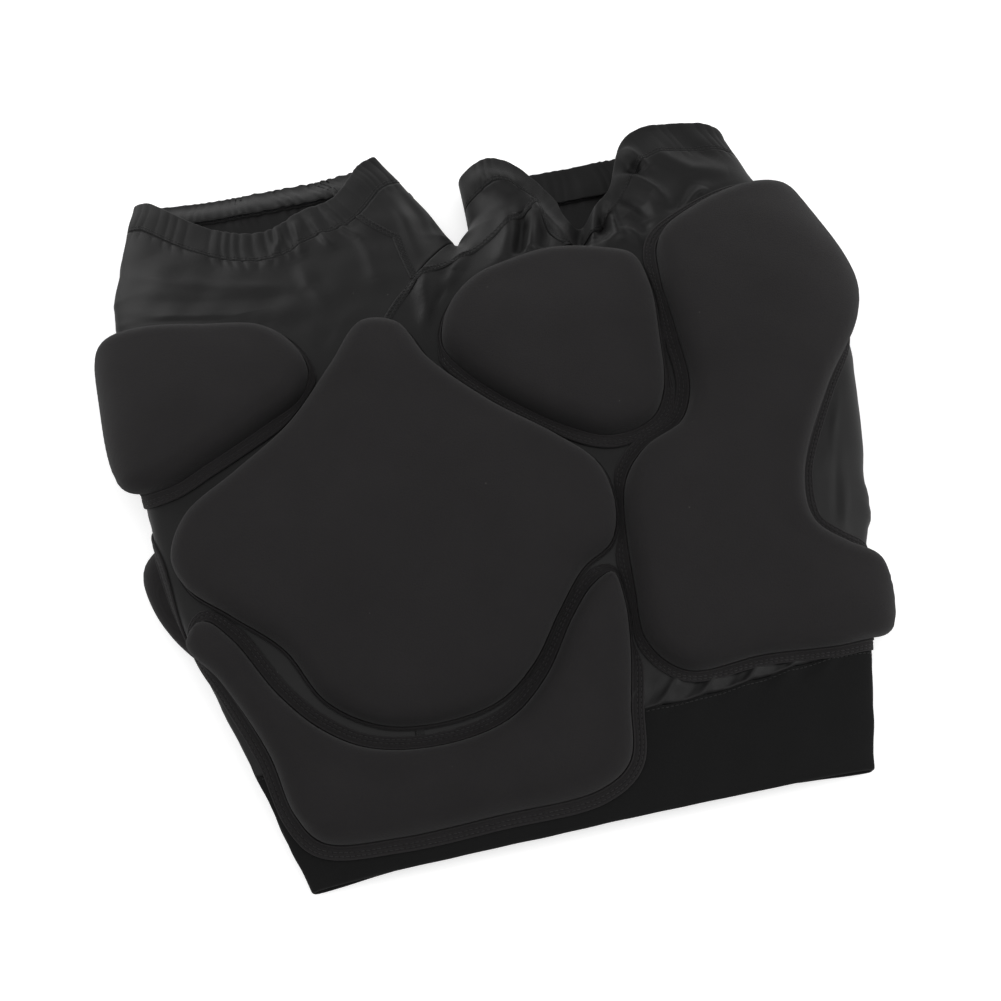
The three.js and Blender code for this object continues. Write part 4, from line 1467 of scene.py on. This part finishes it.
@dataclass
class Pad:
    """A foam pad in its stitched cover."""

    name: str
    outline: Array
    others: list  # the outlines of the pads beside it, each with the room that it keeps
    flange: float = 8.6
    narrow: float = 8.6  # the margin along the edges away from the waist
    lip: float = 1.7
    under: float = 0.45
    foot: float = 1.9
    top: float = 16.2
    round_in: float = 11.5
    crown: float = 2.4
    stitch_rows: tuple = (0.36, 0.70)  # the rows' places across the margin
    stitch_height: float = 1.75
    least_stitched: float = 5.5  # the narrowest margin that is stitched
    least_margin: float = 2.1
    wall_insets: tuple = (0.0, 0.12, 0.4, 0.9, 1.7, 2.8, 4.2)
    foam_rings: tuple = ((3.2, 1.5), (2.4, 2.5), (2.4, 6.5), (4.2, 10.0), (7.5, 12.8),
                         (11.0, 13.8))  # each ring's inset and height
    foam_top: float = 14.0

    def margin(self) -> Array:
        """Give the margin's width at each point of the outline, less where another pad is near.

        Returns:
            The widths in millimetres.
        """
        towards_waist = smoothstep(-outline_normals(self.outline)[:, 1], 0.0, 0.5)
        width = lerp(self.narrow, self.flange, towards_waist)
        for outline, kept in self.others:
            gap = -outline_distance(self.outline, outline)
            width = np.minimum(width, gap - kept)
        width = np.maximum(width, self.least_margin)
        for _ in range(6):
            width = np.minimum(width, (np.roll(width, 1) + width + np.roll(width, -1)) / 3)
        return width

    def across(self, width: Array, share: float) -> Array:
        """Give the offset at a share of the way from the lip to the margin's edge."""
        return self.lip + (width - self.lip) * share

    def rings(self, width: Array) -> list:
        """Give the rings from the margin's underside in to the shoulder.

        Args:
            width: the margin's width round the outline.

        Returns:
            For each ring, its offset from the outline, its height and how rubbed it is.
        """
        first, second = self.stitch_rows
        margin = ((1.0, 1.2, 0.6), (0.96, 1.75, 0.8), (0.86, 2.05, 0.3),
                  (second + 0.07, 1.95, 0.0), (second, 1.55, 0.0), (second - 0.07, 1.95, 0.0),
                  (0.53, 2.15, 0.25), (first + 0.07, 1.95, 0.0), (first, 1.55, 0.0),
                  (first - 0.07, 1.95, 0.0), (0.12, 2.05, 0.1))
        piping = ((1.6, 1.75, 0.0), (1.35, 2.35, 0.5), (1.0, 2.75, 1.0), (0.65, 2.6, 0.5),
                  (0.4, 1.7, 0.0), (0.1, self.foot - 0.5, 0.0))
        return [(self.across(width, 1.0) - 0.1, self.under, 0.3),
                *((self.across(width, share), height, rub) for share, height, rub in margin),
                *((0 * width + offset, height, rub) for offset, height, rub in piping)]

    def height(self, inside: Array, flat: Array) -> Array:
        """Give the cover's height over the cloth.

        Args:
            inside: each point's distance in from the outline.
            flat: each point's pattern place.

        Returns:
            The heights.
        """
        t = np.clip(inside / self.round_in, 0, 1)
        wall = (1 - (1 - t) ** 2.5) ** (1 / 2.5)
        crown = self.crown * (1 - np.exp(-np.maximum(inside, 0) / 22)) * wall
        soft = 0.45 * Ripple(23, 60.0)(flat[:, 0], flat[:, 1]) * smoothstep(inside, 2, 25)
        return self.foot + (self.top - self.foot) * wall + crown + soft

    def build(self, shop: Workshop, chart: Chart) -> None:
        """Make the cover, its stitching and the foam inside.

        Args:
            shop: makes the meshes.
            chart: puts flat points on the garment.
        """
        normal = outline_normals(self.outline)
        width = self.margin()
        rings, rubs = [], []
        for offset, height, rub in self.rings(width):
            rings.append(at_height(self.outline + normal * np.asarray(offset)[:, None], height))
            rubs.append(np.full(len(normal), rub))
        for inset in self.wall_insets:
            ring = self.outline - normal * inset
            rings.append(at_height(ring, self.height(np.full(len(ring), inset), ring)))
            rubs.append(np.zeros(len(ring)))
        inner, lid = fill_outline(rings[-1][:, :2], *LID_FILL)
        inside = outline_distance(inner, self.outline)
        rubs.append(0.25 * smoothstep(inside, 6, 30))
        flat, faces = close_pad(rings, at_height(inner, self.height(inside, inner)), lid)
        rub = np.concatenate(rubs)
        rub = np.pad(rub, (0, len(flat) - len(rub)))
        cover = self.piece(shop, chart, "padded_cover", PAD_KNIT, "pad_cover", flat, faces, rub)
        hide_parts(f"{self.name}_cover")
        self.build_foam(shop, chart)
        self.build_stitching(shop, chart, normal, width)

    def piece(self, shop: Workshop, chart: Chart, part: str, finish: Finish, slot: str,
              flat: Array, faces: list, rub: Optional[Array] = None) -> bpy.types.Object:
        """Wrap a closed flat mesh round the garment and make it a piece of this pad.

        Args:
            shop: makes the meshes.
            chart: puts flat points on the garment.
            part: what the piece is.
            finish: its finish.
            slot: the record's material slot.
            flat: its points in the pattern.
            faces: arrays of quads and triangles.
            rub: how rubbed each point is.

        Returns:
            The object.
        """
        points = chart.wrap(flat)
        return shop.piece(f"{self.name}_{part}", points, outward(points, faces), finish, slot,
                          flat, rub)

    def build_foam(self, shop: Workshop, chart: Chart) -> None:
        """Make the foam block, which the cover hides.

        Args:
            shop: makes the meshes.
            chart: puts flat points on the garment.
        """
        outline = self.outline[::3]
        normal = outline_normals(outline)
        rings = [at_height(outline - normal * inset, height) for inset, height in self.foam_rings]
        inner, lid = fill_outline(rings[-1][:, :2], *FOAM_FILL)
        flat, faces = close_pad(rings, at_height(inner, self.foam_top), lid)
        foam = self.piece(shop, chart, "foam_block", FOAM, "pad_foam", flat, faces)
        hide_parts(f"{self.name}_foam")

    def build_stitching(self, shop: Workshop, chart: Chart, normal: Array, width: Array) -> None:
        """Make the rows of stitches along the margin.

        Args:
            shop: makes the meshes.
            chart: puts flat points on the garment.
            normal: the outline's outward normals.
            width: the margin's width round the outline.
        """
        rows = []
        for share in self.stitch_rows:
            line = self.outline + normal * self.across(width, share)[:, None]
            flat = at_height(line, self.stitch_height)
            on_cloth, proud = chart.wrap(flat), chart.wrap(flat + [0, 0, 1.0])
            clear = np.linalg.norm(proud - on_cloth, axis=1) > 0.9
            rows.append(StitchRow(on_cloth, proud, (width > self.least_stitched) & clear, True))
        sew(shop, f"{self.name}_stitching", rows, "pad_cover")


# ---- Stitching --------------------------------------------------------------

# A stitch's bend: places along it, as shares of its length, and how proud it stands there.
ROD_BEND = ((-0.5, -0.30), (-0.36, 0.06), (0.0, 0.16), (0.36, 0.06), (0.5, -0.30))
ROD_SIDES = 6
ROD_POINTS = len(ROD_BEND) * ROD_SIDES


@dataclass
class StitchRow:
    """A line that stitches follow: its points, and points a millimetre proud of them."""

    line: Array
    proud: Array
    keep: Array
    closed: bool
    pitch: float = 3.1
    length: float = 2.3
    radius: float = 0.24
    zigzag: float = 0.0

    def stitches(self) -> tuple:
        """Make the row's stitches as short bent rods.

        Returns:
            Their points, grouped stitch by stitch and ring by ring, and their cloth places.
        """
        line, proud, keep = (np.concatenate([of, of[:1]]) if self.closed else of
                             for of in (self.line, self.proud, self.keep))
        along = distance_along(line)

        def read(at: Array, of: Array) -> Array:
            """Read one of the lines at places along it."""
            return np.stack([np.interp(at, along, of[:, k]) for k in range(3)], -1)

        middles = np.arange(self.pitch / 2, along[-1] - self.pitch / 2, self.pitch)
        middles = middles[np.interp(middles, along, keep.astype(float)) > 0.99]
        rings = []
        for share, sink in ROD_BEND:
            at = middles + share * self.length
            base, up = read(at, line), unit(read(at, proud) - read(at, line))
            ahead = unit(read(at + 0.3, line) - read(at - 0.3, line))
            aside = unit(np.cross(up, ahead))
            turn = np.where(np.arange(len(middles)) % 2 == 0, 1.0, -1.0)[:, None]
            centre = base + up * sink + aside * turn * self.zigzag * share * 2
            thin = self.radius * (0.75 if abs(share) == 0.5 else 1.0)
            for angle in np.linspace(0, 2 * np.pi, ROD_SIDES, endpoint=False):
                rings.append(centre + thin * (np.cos(angle) * aside + np.sin(angle) * up))
        points = np.stack(rings, axis=1) if len(middles) else np.zeros((0, ROD_POINTS, 3))
        place = np.zeros(points.shape)
        place[..., 0] = middles[:, None]
        place[..., 1] = np.arange(ROD_POINTS) % ROD_SIDES * 0.25
        return points.reshape(-1, 3), place.reshape(-1, 3)


def stitch_faces(count: int) -> list:
    """Give the faces of so many separate rods.

    Args:
        count: how many rods.

    Returns:
        Their quads and their ends.
    """
    start = (np.arange(count) * ROD_POINTS)[:, None, None]
    quads, ends = wall_quads(len(ROD_BEND), ROD_SIDES), end_faces(len(ROD_BEND), ROD_SIDES)
    return [(quads + start).reshape(-1, 4), (ends + start).reshape(-1, ROD_SIDES)]


def sew(shop: Workshop, name: str, rows: list, slot: str) -> None:
    """Make one piece of thread from several rows of stitches.

    Args:
        shop: makes the meshes.
        name: the piece's name.
        rows: the rows.
        slot: the record's material slot.
    """
    made = [row.stitches() for row in rows]
    points = np.vstack([p for p, _ in made])
    if not len(points):
        return
    rods = points.reshape(-1, ROD_POINTS, 3)
    rods[..., 2] += np.maximum(THREAD_CLEAR - rods[..., 2].min(axis=1), 0)[:, None]
    faces = outward(points - points.mean(0), stitch_faces(len(rods)))
    shop.piece(name, points, faces, THREAD, slot, np.vstack([c for _, c in made]))


PANEL_STEP = (0.002, 0.003)  # how far apart a panel's normals are measured


@dataclass
class Seam:
    """A flatlock seam: a low strip of thread loops over two edges of cloth."""

    name: str
    surface: Surface
    u: Array
    v: Array
    half: float = 2.6
    rise: float = 0.55

    def build(self, shop: Workshop) -> None:
        """Make the strip and its stitches.

        Args:
            shop: makes the meshes.
        """
        end = np.sign(self.u[0])
        cloth = Ribbon(self.surface, self.u, np.zeros((1, 2)), False, PANEL_STEP,
                       (0.5 * end, 0.5), int(end))
        line = self.surface(self.u, self.v)
        up = cloth.sign() * cloth.normals(self.u - PANEL_STEP[0] * 4 * end, self.v)
        ahead = unit(np.gradient(line, axis=0))
        aside = unit(np.cross(up, ahead))
        shape = [(-1.0, -0.5), (-1.0, 0.1), (-0.85, 0.75), (-0.4, 1.0), (0.0, 0.72), (0.4, 1.0),
                 (0.85, 0.75), (1.0, 0.1), (1.0, -0.5)]
        grid = np.stack([line + aside * a * self.half + up * b * self.rise for a, b in shape], 1)
        grid[..., 2] = np.maximum(grid[..., 2], FLOOR_CLEAR)
        n, k = grid.shape[:2]
        points = grid.reshape(-1, 3)
        faces = outward(points, [wall_quads(n, k), end_faces(n, k)])
        sideways = np.array([a * self.half for a, _ in shape])
        place = np.stack(np.broadcast_arrays(distance_along(line)[:, None], sideways, 0.0), -1)
        shop.piece(f"{self.name}_seam_strip", points, faces, CUFF_KNIT, "shell_fabric",
                   place.reshape(-1, 3))
        rows = [StitchRow(line + up * self.rise * 0.95 + aside * shift,
                          line + up * 2 + aside * shift, np.ones(n, bool), False,
                          1.5, 1.9, 0.2, 0.9)
                for shift in (-self.half * 0.45, self.half * 0.45)]
        sew(shop, f"{self.name}_seam_stitching", rows, "shell_fabric")


# ---- The cloth pieces -------------------------------------------------------

@dataclass
class Shell:
    """The stretch shell: a panel round each side and one on the inside of each thigh."""

    cloth: Cloth
    thickness: float = 1.0
    panel_flats: tuple = ((0.34, 0.42), (0.62, 0.42))
    panel_columns: tuple = (190, 270)
    gusset_flat: tuple = (0.13, 0.11)
    seam_points: int = 70
    middle_points: int = 110

    def build(self, shop: Workshop) -> None:
        """Make the panels, the inner thigh panels and their seams.

        Args:
            shop: makes the meshes.
        """
        split = self.cloth.garment.gusset_row
        rows = np.concatenate([np.linspace(0.0005, 0.06, 16, endpoint=False),
                               np.linspace(0.06, split, 56, endpoint=False),
                               np.linspace(split, 0.9995, 70)])
        inner_rows = np.linspace(0.01, 0.998, 40)
        around = np.concatenate([np.linspace(0.004, 0.988, 44), np.linspace(1.012, 1.996, 44)])
        for side, columns, flat in zip(Side, self.panel_columns, self.panel_flats):
            word = side.name.lower()
            half = np.linspace(0.012, 1.0, columns)
            stops = np.concatenate([-half[::-1], [-0.006, 0.006], half])
            surface = self.cloth.leg_panel(side)
            panel, area = self.sheet(shop, f"{word}_body_cloth", surface, stops, rows, 0.5)
            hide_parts(f"{word}_back_panel", f"{word}_front_panel")
            gusset = self.cloth.gusset(side)
            piece, area = self.sheet(shop, f"{word}_inner_thigh_cloth", gusset, around,
                                     inner_rows, 0.2)
            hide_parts(f"{word}_inner_thigh_panel")
            leg = np.linspace(split, 0.998, self.seam_points)
            self.seams(shop, f"{word}_inseam", surface, leg)
        self.seams(shop, "middle", surface, np.linspace(0.0, split, self.middle_points))

    def sheet(self, shop: Workshop, name: str, surface: Surface, stops: Array, rows: Array,
              probe: float) -> tuple:
        """Make one panel of cloth.

        Args:
            shop: makes the meshes.
            name: the panel's name.
            surface: its outside.
            stops: its columns' places.
            rows: its rows' places.
            probe: a place across that is on the back layer.

        Returns:
            The object and its area in square metres.
        """
        profile = sheet_profile(rows, self.thickness)
        ribbon = Ribbon(surface, stops, profile, False, PANEL_STEP, (probe, 0.5), 1)
        points, faces, place = ribbon.build()
        panel = shop.piece(name, points, faces, SHELL_KNIT, "shell_fabric", place)
        return panel, cloth_area(points, faces)

    def seams(self, shop: Workshop, name: str, surface: Surface, v: Array) -> None:
        """Make the back and the front seam along a panel's two edges.

        Args:
            shop: makes the meshes.
            name: the start of the seams' names.
            surface: the panel's outside.
            v: places along the panel.
        """
        for layer in Layer:
            edge = np.full(len(v), float(layer.value))
            Seam(f"{name}_{layer.name.lower()}", surface, edge, v).build(shop)


@dataclass
class Band:
    """A band once round an opening: a folded sleeve over elastic, and its stitches."""

    shop: Workshop
    name: str
    surface: Surface
    stops: Array
    total: float  # the whole band's thickness

    def ribbon(self, profile: Array) -> Ribbon:
        """Sweep a profile once round the opening."""
        return Ribbon(self.surface, self.stops, profile, True, (0.002, 1.0), (0.5, 10), 1)

    def sleeve(self, sewn: float, free: float, fabric: float, count: int, finish: Finish) -> tuple:
        """Make the folded sleeve.

        Args:
            sewn: where it is sewn on, in millimetres along.
            free: its free edge.
            fabric: its cloth's thickness.
            count: how many places along each face.
            finish: its finish.

        Returns:
            The object and its cloth's area in square metres.
        """
        profile = sleeve_profile(sewn, free, fabric, self.total, count)
        return self.layer("sleeve", "cover", profile, finish, "band_fabric")

    def tape(self, rows: Array, elastic: float) -> tuple:
        """Make the elastic in the middle of the sleeve and give it and its area."""
        profile = sheet_profile(rows, elastic) + [0, (self.total - elastic) / 2]
        return self.layer("tape", "elastic", profile, ELASTIC, "elastic")

    def layer(self, part: str, solid: str, profile: Array, finish: Finish, slot: str) -> tuple:
        """Make one layer of the band.

        Args:
            part: what the layer is.
            solid: what the frame calls it.
            profile: its closed profile.
            finish: its finish.
            slot: the record's material slot.

        Returns:
            The object and its area in square metres.
        """
        points, faces, place = self.ribbon(profile).build()
        piece = self.shop.piece(f"{self.name}_{part}", points, faces, finish, slot, place)
        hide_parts(f"{self.name}_{solid}")
        return piece, cloth_area(points, faces)

    def stitch(self, u: Array, places: tuple, pitch: float, length: float) -> None:
        """Sew rows of stitches round the band.

        Args:
            u: places once round.
            places: each row's place along the band.
            pitch: how far apart the stitches are.
            length: how long each is.
        """
        ribbon = self.ribbon(np.zeros((1, 2)))
        rows = []
        for v in places:
            spot = np.full(len(u), v)
            line, up = self.surface(u, spot), ribbon.sign() * ribbon.normals(u, spot)
            rows.append(StitchRow(line + 0.05 * up, line + up, np.ones(len(u), bool), False,
                                  pitch, length, 0.2))
        sew(self.shop, f"{self.name}_stitching", rows, "band_fabric")


@dataclass
class Waistband:
    """The broad waistband: a sleeve of plush knit over woven elastic."""

    cloth: Cloth
    height: float = 68.0
    fabric: float = 0.9
    elastic: float = 1.2
    total: float = 3.8
    around: int = 300
    flat: tuple = (0.70, 0.134)
    stitch_in: float = 1.6  # how far the stitches lie from the sewn edge

    def build(self, shop: Workshop) -> None:
        """Make the sleeve, the elastic and the stitching.

        Args:
            shop: makes the meshes.
        """
        stops = np.linspace(0, 2, self.around, endpoint=False) + 0.003
        band = Band(shop, "waistband", self.cloth.waist, stops, self.total)
        sewn = self.height - 0.1
        sleeve, _ = band.sleeve(sewn, 0.0, self.fabric, 30, BAND_KNIT)
        tape, _ = band.tape(np.linspace(sewn, 4.5, 20), self.elastic)
        band.stitch(np.linspace(0.003, 2.003, 500), (self.height - self.stitch_in,), 2.9, 2.1)


@dataclass
class Cuff:
    """A leg's cuff: a gathered sleeve of the shell's knit over narrow elastic."""

    cloth: Cloth
    side: Side
    height: float = 27.0
    fabric: float = 0.9
    elastic: float = 0.8
    total: float = 3.4
    around: int = 440
    stitch_places: tuple = (1.4, 3.4)

    def build(self, shop: Workshop) -> None:
        """Make the sleeve, the elastic and the stitching.

        Args:
            shop: makes the meshes.
        """
        even = np.linspace(0, 2, self.around, endpoint=False) + 1 / self.around
        near = np.abs(even - np.round(even))
        stops = np.sign(even - np.round(even)) * 0.5 * (2 * near) ** 1.5 + np.round(even)
        name = f"{self.side.name.lower()}_cuff"
        band = Band(shop, name, self.cloth.cuff(self.side), stops, self.total)
        sleeve, area = band.sleeve(0.2, self.height, self.fabric, 18, CUFF_KNIT)
        tape, area = band.tape(np.linspace(0.6, self.height - 4, 12), self.elastic)
        band.stitch(np.linspace(0.01, 1.99, 420), self.stitch_places, 2.6, 1.9)


# ---- The stage --------------------------------------------------------------

@dataclass(frozen=True)
class Studio:
    """A plain pale floor, soft lights and the camera."""

    azimuth: float = -13.0
    elevation: float = 62.0
    target: tuple = (0.0, 0.0, 35.0)
    distance: float = 1.418
    lens: float = 85.0
    floor: float = 6.0
    glow: float = 0.55  # how far the floor's own paleness is lifted towards white
    sky: float = 0.5
    lights: tuple = (("key", (-0.95, 1.6, 0.62), 1.0, 8), ("over", (0.0, -0.35, 2.0), 1.7, 12),
                     ("left", (-1.5, -0.5, 1.1), 1.2, 5), ("right", (1.6, -0.5, 0.9), 1.2, 12.5))

    def build(self) -> None:
        """Make the floor, the lights, the world and the camera."""
        scene = bpy.context.scene
        self.build_floor(scene)
        world = bpy.data.worlds.new("studio")
        world.use_nodes = True
        world.node_tree.nodes["Background"].inputs[0].default_value = (1, 1, 1, 1)
        world.node_tree.nodes["Background"].inputs[1].default_value = self.sky
        scene.world = world
        scene.view_settings.view_transform = "Standard"
        for light in self.lights:
            self.light(*light)
        self.camera(scene)

    def build_floor(self, scene: bpy.types.Scene) -> None:
        """Make the floor and its finish.

        Args:
            scene: the scene.
        """
        half = self.floor / 2
        mesh = bpy.data.meshes.new("floor")
        corners = [(x * half, y * half, 0) for x, y in ((-1, -1), (1, -1), (1, 1), (-1, 1))]
        mesh.from_pydata(corners, [], [(0, 1, 2, 3)])
        floor = bpy.data.objects.new("floor", mesh)
        material = bpy.data.materials.new("pale_floor")
        material.use_nodes = True
        shader = material.node_tree.nodes["Principled BSDF"]
        shader.inputs["Base Color"].default_value = (0.8, 0.8, 0.8, 1)
        tree = material.node_tree
        seen = tree.nodes.new("ShaderNodeLightPath").outputs["Is Camera Ray"]
        tree.links.new(seen, shader.inputs["Emission Strength"])
        shader.inputs["Emission Color"].default_value = (*[self.glow] * 3, 1)
        shader.inputs["Roughness"].default_value = 0.95
        shader.inputs["Specular IOR Level"].default_value = 0.1
        mesh.materials.append(material)
        scene.collection.objects.link(floor)

    def light(self, name: str, place: tuple, size: float, power: float) -> None:
        """Hang a soft light that looks at the garment.

        Args:
            name: the light's name.
            place: where it hangs, in metres.
            size: its side.
            power: its power in watts.
        """
        lamp = bpy.data.lights.new(name, "AREA")
        lamp.size, lamp.energy = size, power
        thing = bpy.data.objects.new(name, lamp)
        thing.location = place
        thing.rotation_euler = (-Vector(place)).to_track_quat("-Z", "Y").to_euler()
        bpy.context.scene.collection.objects.link(thing)

    def camera(self, scene: bpy.types.Scene) -> None:
        """Place the camera and make it the scene's.

        Args:
            scene: the scene.
        """
        a, e = np.radians(self.azimuth), np.radians(self.elevation)
        back = Vector((np.sin(a) * np.cos(e), -np.cos(a) * np.cos(e), np.sin(e)))
        right = Vector((np.cos(a), np.sin(a), 0))
        lens = bpy.data.cameras.new("camera")
        lens.lens, lens.sensor_width = self.lens, 36
        camera = bpy.data.objects.new("camera", lens)
        target = Vector((np.array(self.target) + TO_ROW) * MM)
        turn = Matrix((right, back.cross(right), back)).transposed().to_4x4()
        camera.matrix_world = Matrix.Translation(target + back * self.distance) @ turn
        scene.collection.objects.link(camera)
        scene.camera = camera


# ---- The whole garment ------------------------------------------------------

LEFT_LEG_FOLDS = (
    Fold(((-195, 210), (-162, 189), (-126, 173), (-90, 162)), 1.5, 5.0),
    Fold(((-195, 187), (-158, 170), (-116, 159), (-91, 155)), -1.0, 5.0),
    Fold(((-202, 179), (-166, 160), (-124, 148), (-81, 140)), 1.4, 5.0),
    Fold(((-86, 184), (-84, 162), (-75, 142)), 1.6, 5.0),
    Fold(((-83, 222), (-84, 205), (-83, 190)), 3.0, 2.6),
    Fold(((-94, 222), (-96, 206), (-102, 192)), 2.4, 2.6),
    Fold(((-73, 222), (-70, 206), (-64, 191)), 2.6, 2.6),
    Fold(((-64, 224), (-57, 208), (-46, 194)), 2.2, 2.6),
    Fold(((-22, 235), (-15, 204), (-13, 165)), 2.2, 5.0),
    Fold(((-12, 235), (-6, 210), (-4, 179)), -1.8, 4.0),
    Fold(((-47, 207), (-43, 182), (-43, 155)), 1.6, 5.0),
    Fold(((-210, 175), (-180, 152), (-156, 145)), 1.2, 4.0),
    Fold(((-177, 220), (-170, 177), (-172, 153)), 1.2, 10.0),
)

RIGHT_LEG_FOLDS = (
    Fold(((199, -42), (207, 0), (217, 40)), 1.6, 4.0),
    Fold(((190, -62), (200, -30), (212, 10)), -1.2, 3.0),
    Fold(((192, -84), (196, -60), (204, -36)), 1.4, 3.0),
    Fold(((-8, 162), (-16, 139), (-17, 106)), 4.3, 5.0),
    Fold(((-1, 139), (-8, 129), (-16, 106)), -3.2, 4.0),
    Fold(((23, 178), (6, 152), (-3, 134)), 2.6, 4.0),
    Fold(((32, 228), (41, 230), (51, 223), (62, 213)), 5.8, 9.0),
    Fold(((60, 198), (54, 175), (45, 147)), -5.8, 4.0),
    Fold(((67, 193), (59, 169), (51, 145)), 4.6, 4.0),
    Fold(((52, 200), (45, 173), (34, 151)), 3.5, 6.0),
    Fold(((70, 178), (65, 158), (63, 142)), -3.2, 4.0),
    Fold(((67, 202), (76, 174), (83, 147)), 5.2, 4.0),
    Fold(((99, 195), (91, 170), (82, 143)), -13.0, 6.0),
    Fold(((110, 198), (103, 182), (95, 156)), 6.5, 3.5),
    Fold(((112, 192), (112, 172), (111, 155), (97, 145)), 5.1, 3.5),
    Fold(((110, 178), (101, 160)), -5.1, 4.0),
    Fold(((135, 233), (140, 221), (146, 210)), 5.8, 5.0),
    Fold(((136, 217), (140, 209)), -7.2, 5.0),
    Fold(((121, 207), (135, 202), (145, 190), (150, 177)), 5.2, 4.5),
    Fold(((123, 192), (132, 179), (134, 164)), -5.1, 5.0),
    Fold(((116, 162), (121, 152), (126, 143)), 4.6, 4.0),
    Fold(((121, 173), (130, 160), (134, 149)), -3.2, 4.0),
    Fold(((177, 188), (168, 176), (160, 164)), 4.6, 5.0),
    Fold(((170, 195), (161, 182), (150, 166)), -4.1, 5.0),
    Fold(((158, 247), (157, 222), (173, 205), (199, 201)), 3.2, 7.0),
    Fold(((172, 249), (180, 229), (196, 213)), -2.9, 6.0),
    Fold(((188, 255), (208, 240), (223, 208)), 3.2, 5.0),
    Fold(((146, 254), (165, 260), (184, 255)), 4.3, 8.0),
    Fold(((70, 141), (80, 142), (95, 139), (108, 132)), 3.5, 3.5),
    Fold(((211, -62), (219, -50), (221, -36)), 5.0, 6.0),
)

WAIST_FOLDS = tuple(
    Fold(((x, -150), (x + 8, -144), (x + 20, -132)), height, 2.6, True)
    for x, height in ((8, 2.2), (21, -1.2), (34, 2.4), (45, -1.2), (57, 2.6), (70, -1.3),
                      (82, 2.4), (94, -1.2), (107, 2.3), (119, -1.2), (131, 2.2), (143, -1.0),
                      (155, 2.0))
)


def main() -> None:
    """Build every piece in order."""
    logging.basicConfig(level=logging.INFO, format="%(message)s")
    Studio().build()
    shop = Workshop(Effects.build())
    garment = Garment()
    chart = Chart(garment)
    outlines = {name: smooth_outline(pattern, OUTLINE_STEP) for name, pattern in PATTERNS.items()}
    cover = PadField(chart, outlines)
    cloth = Cloth(garment, LEFT_LEG_FOLDS + RIGHT_LEG_FOLDS + WAIST_FOLDS, cover.covered)
    Shell(cloth).build(shop)
    Waistband(cloth).build(shop)
    for side in Side:
        Cuff(cloth, side).build(shop)
    names = list(outlines)
    for i, name in enumerate(names):
        others = [(outlines[other][::2], MARGINS[other][0] + 0.6 if j < i else 2.7)
                  for j, other in enumerate(names) if j != i]
        Pad(name, outlines[name], others, *MARGINS[name]).build(shop, chart)


if __name__ == "__main__":
    main()
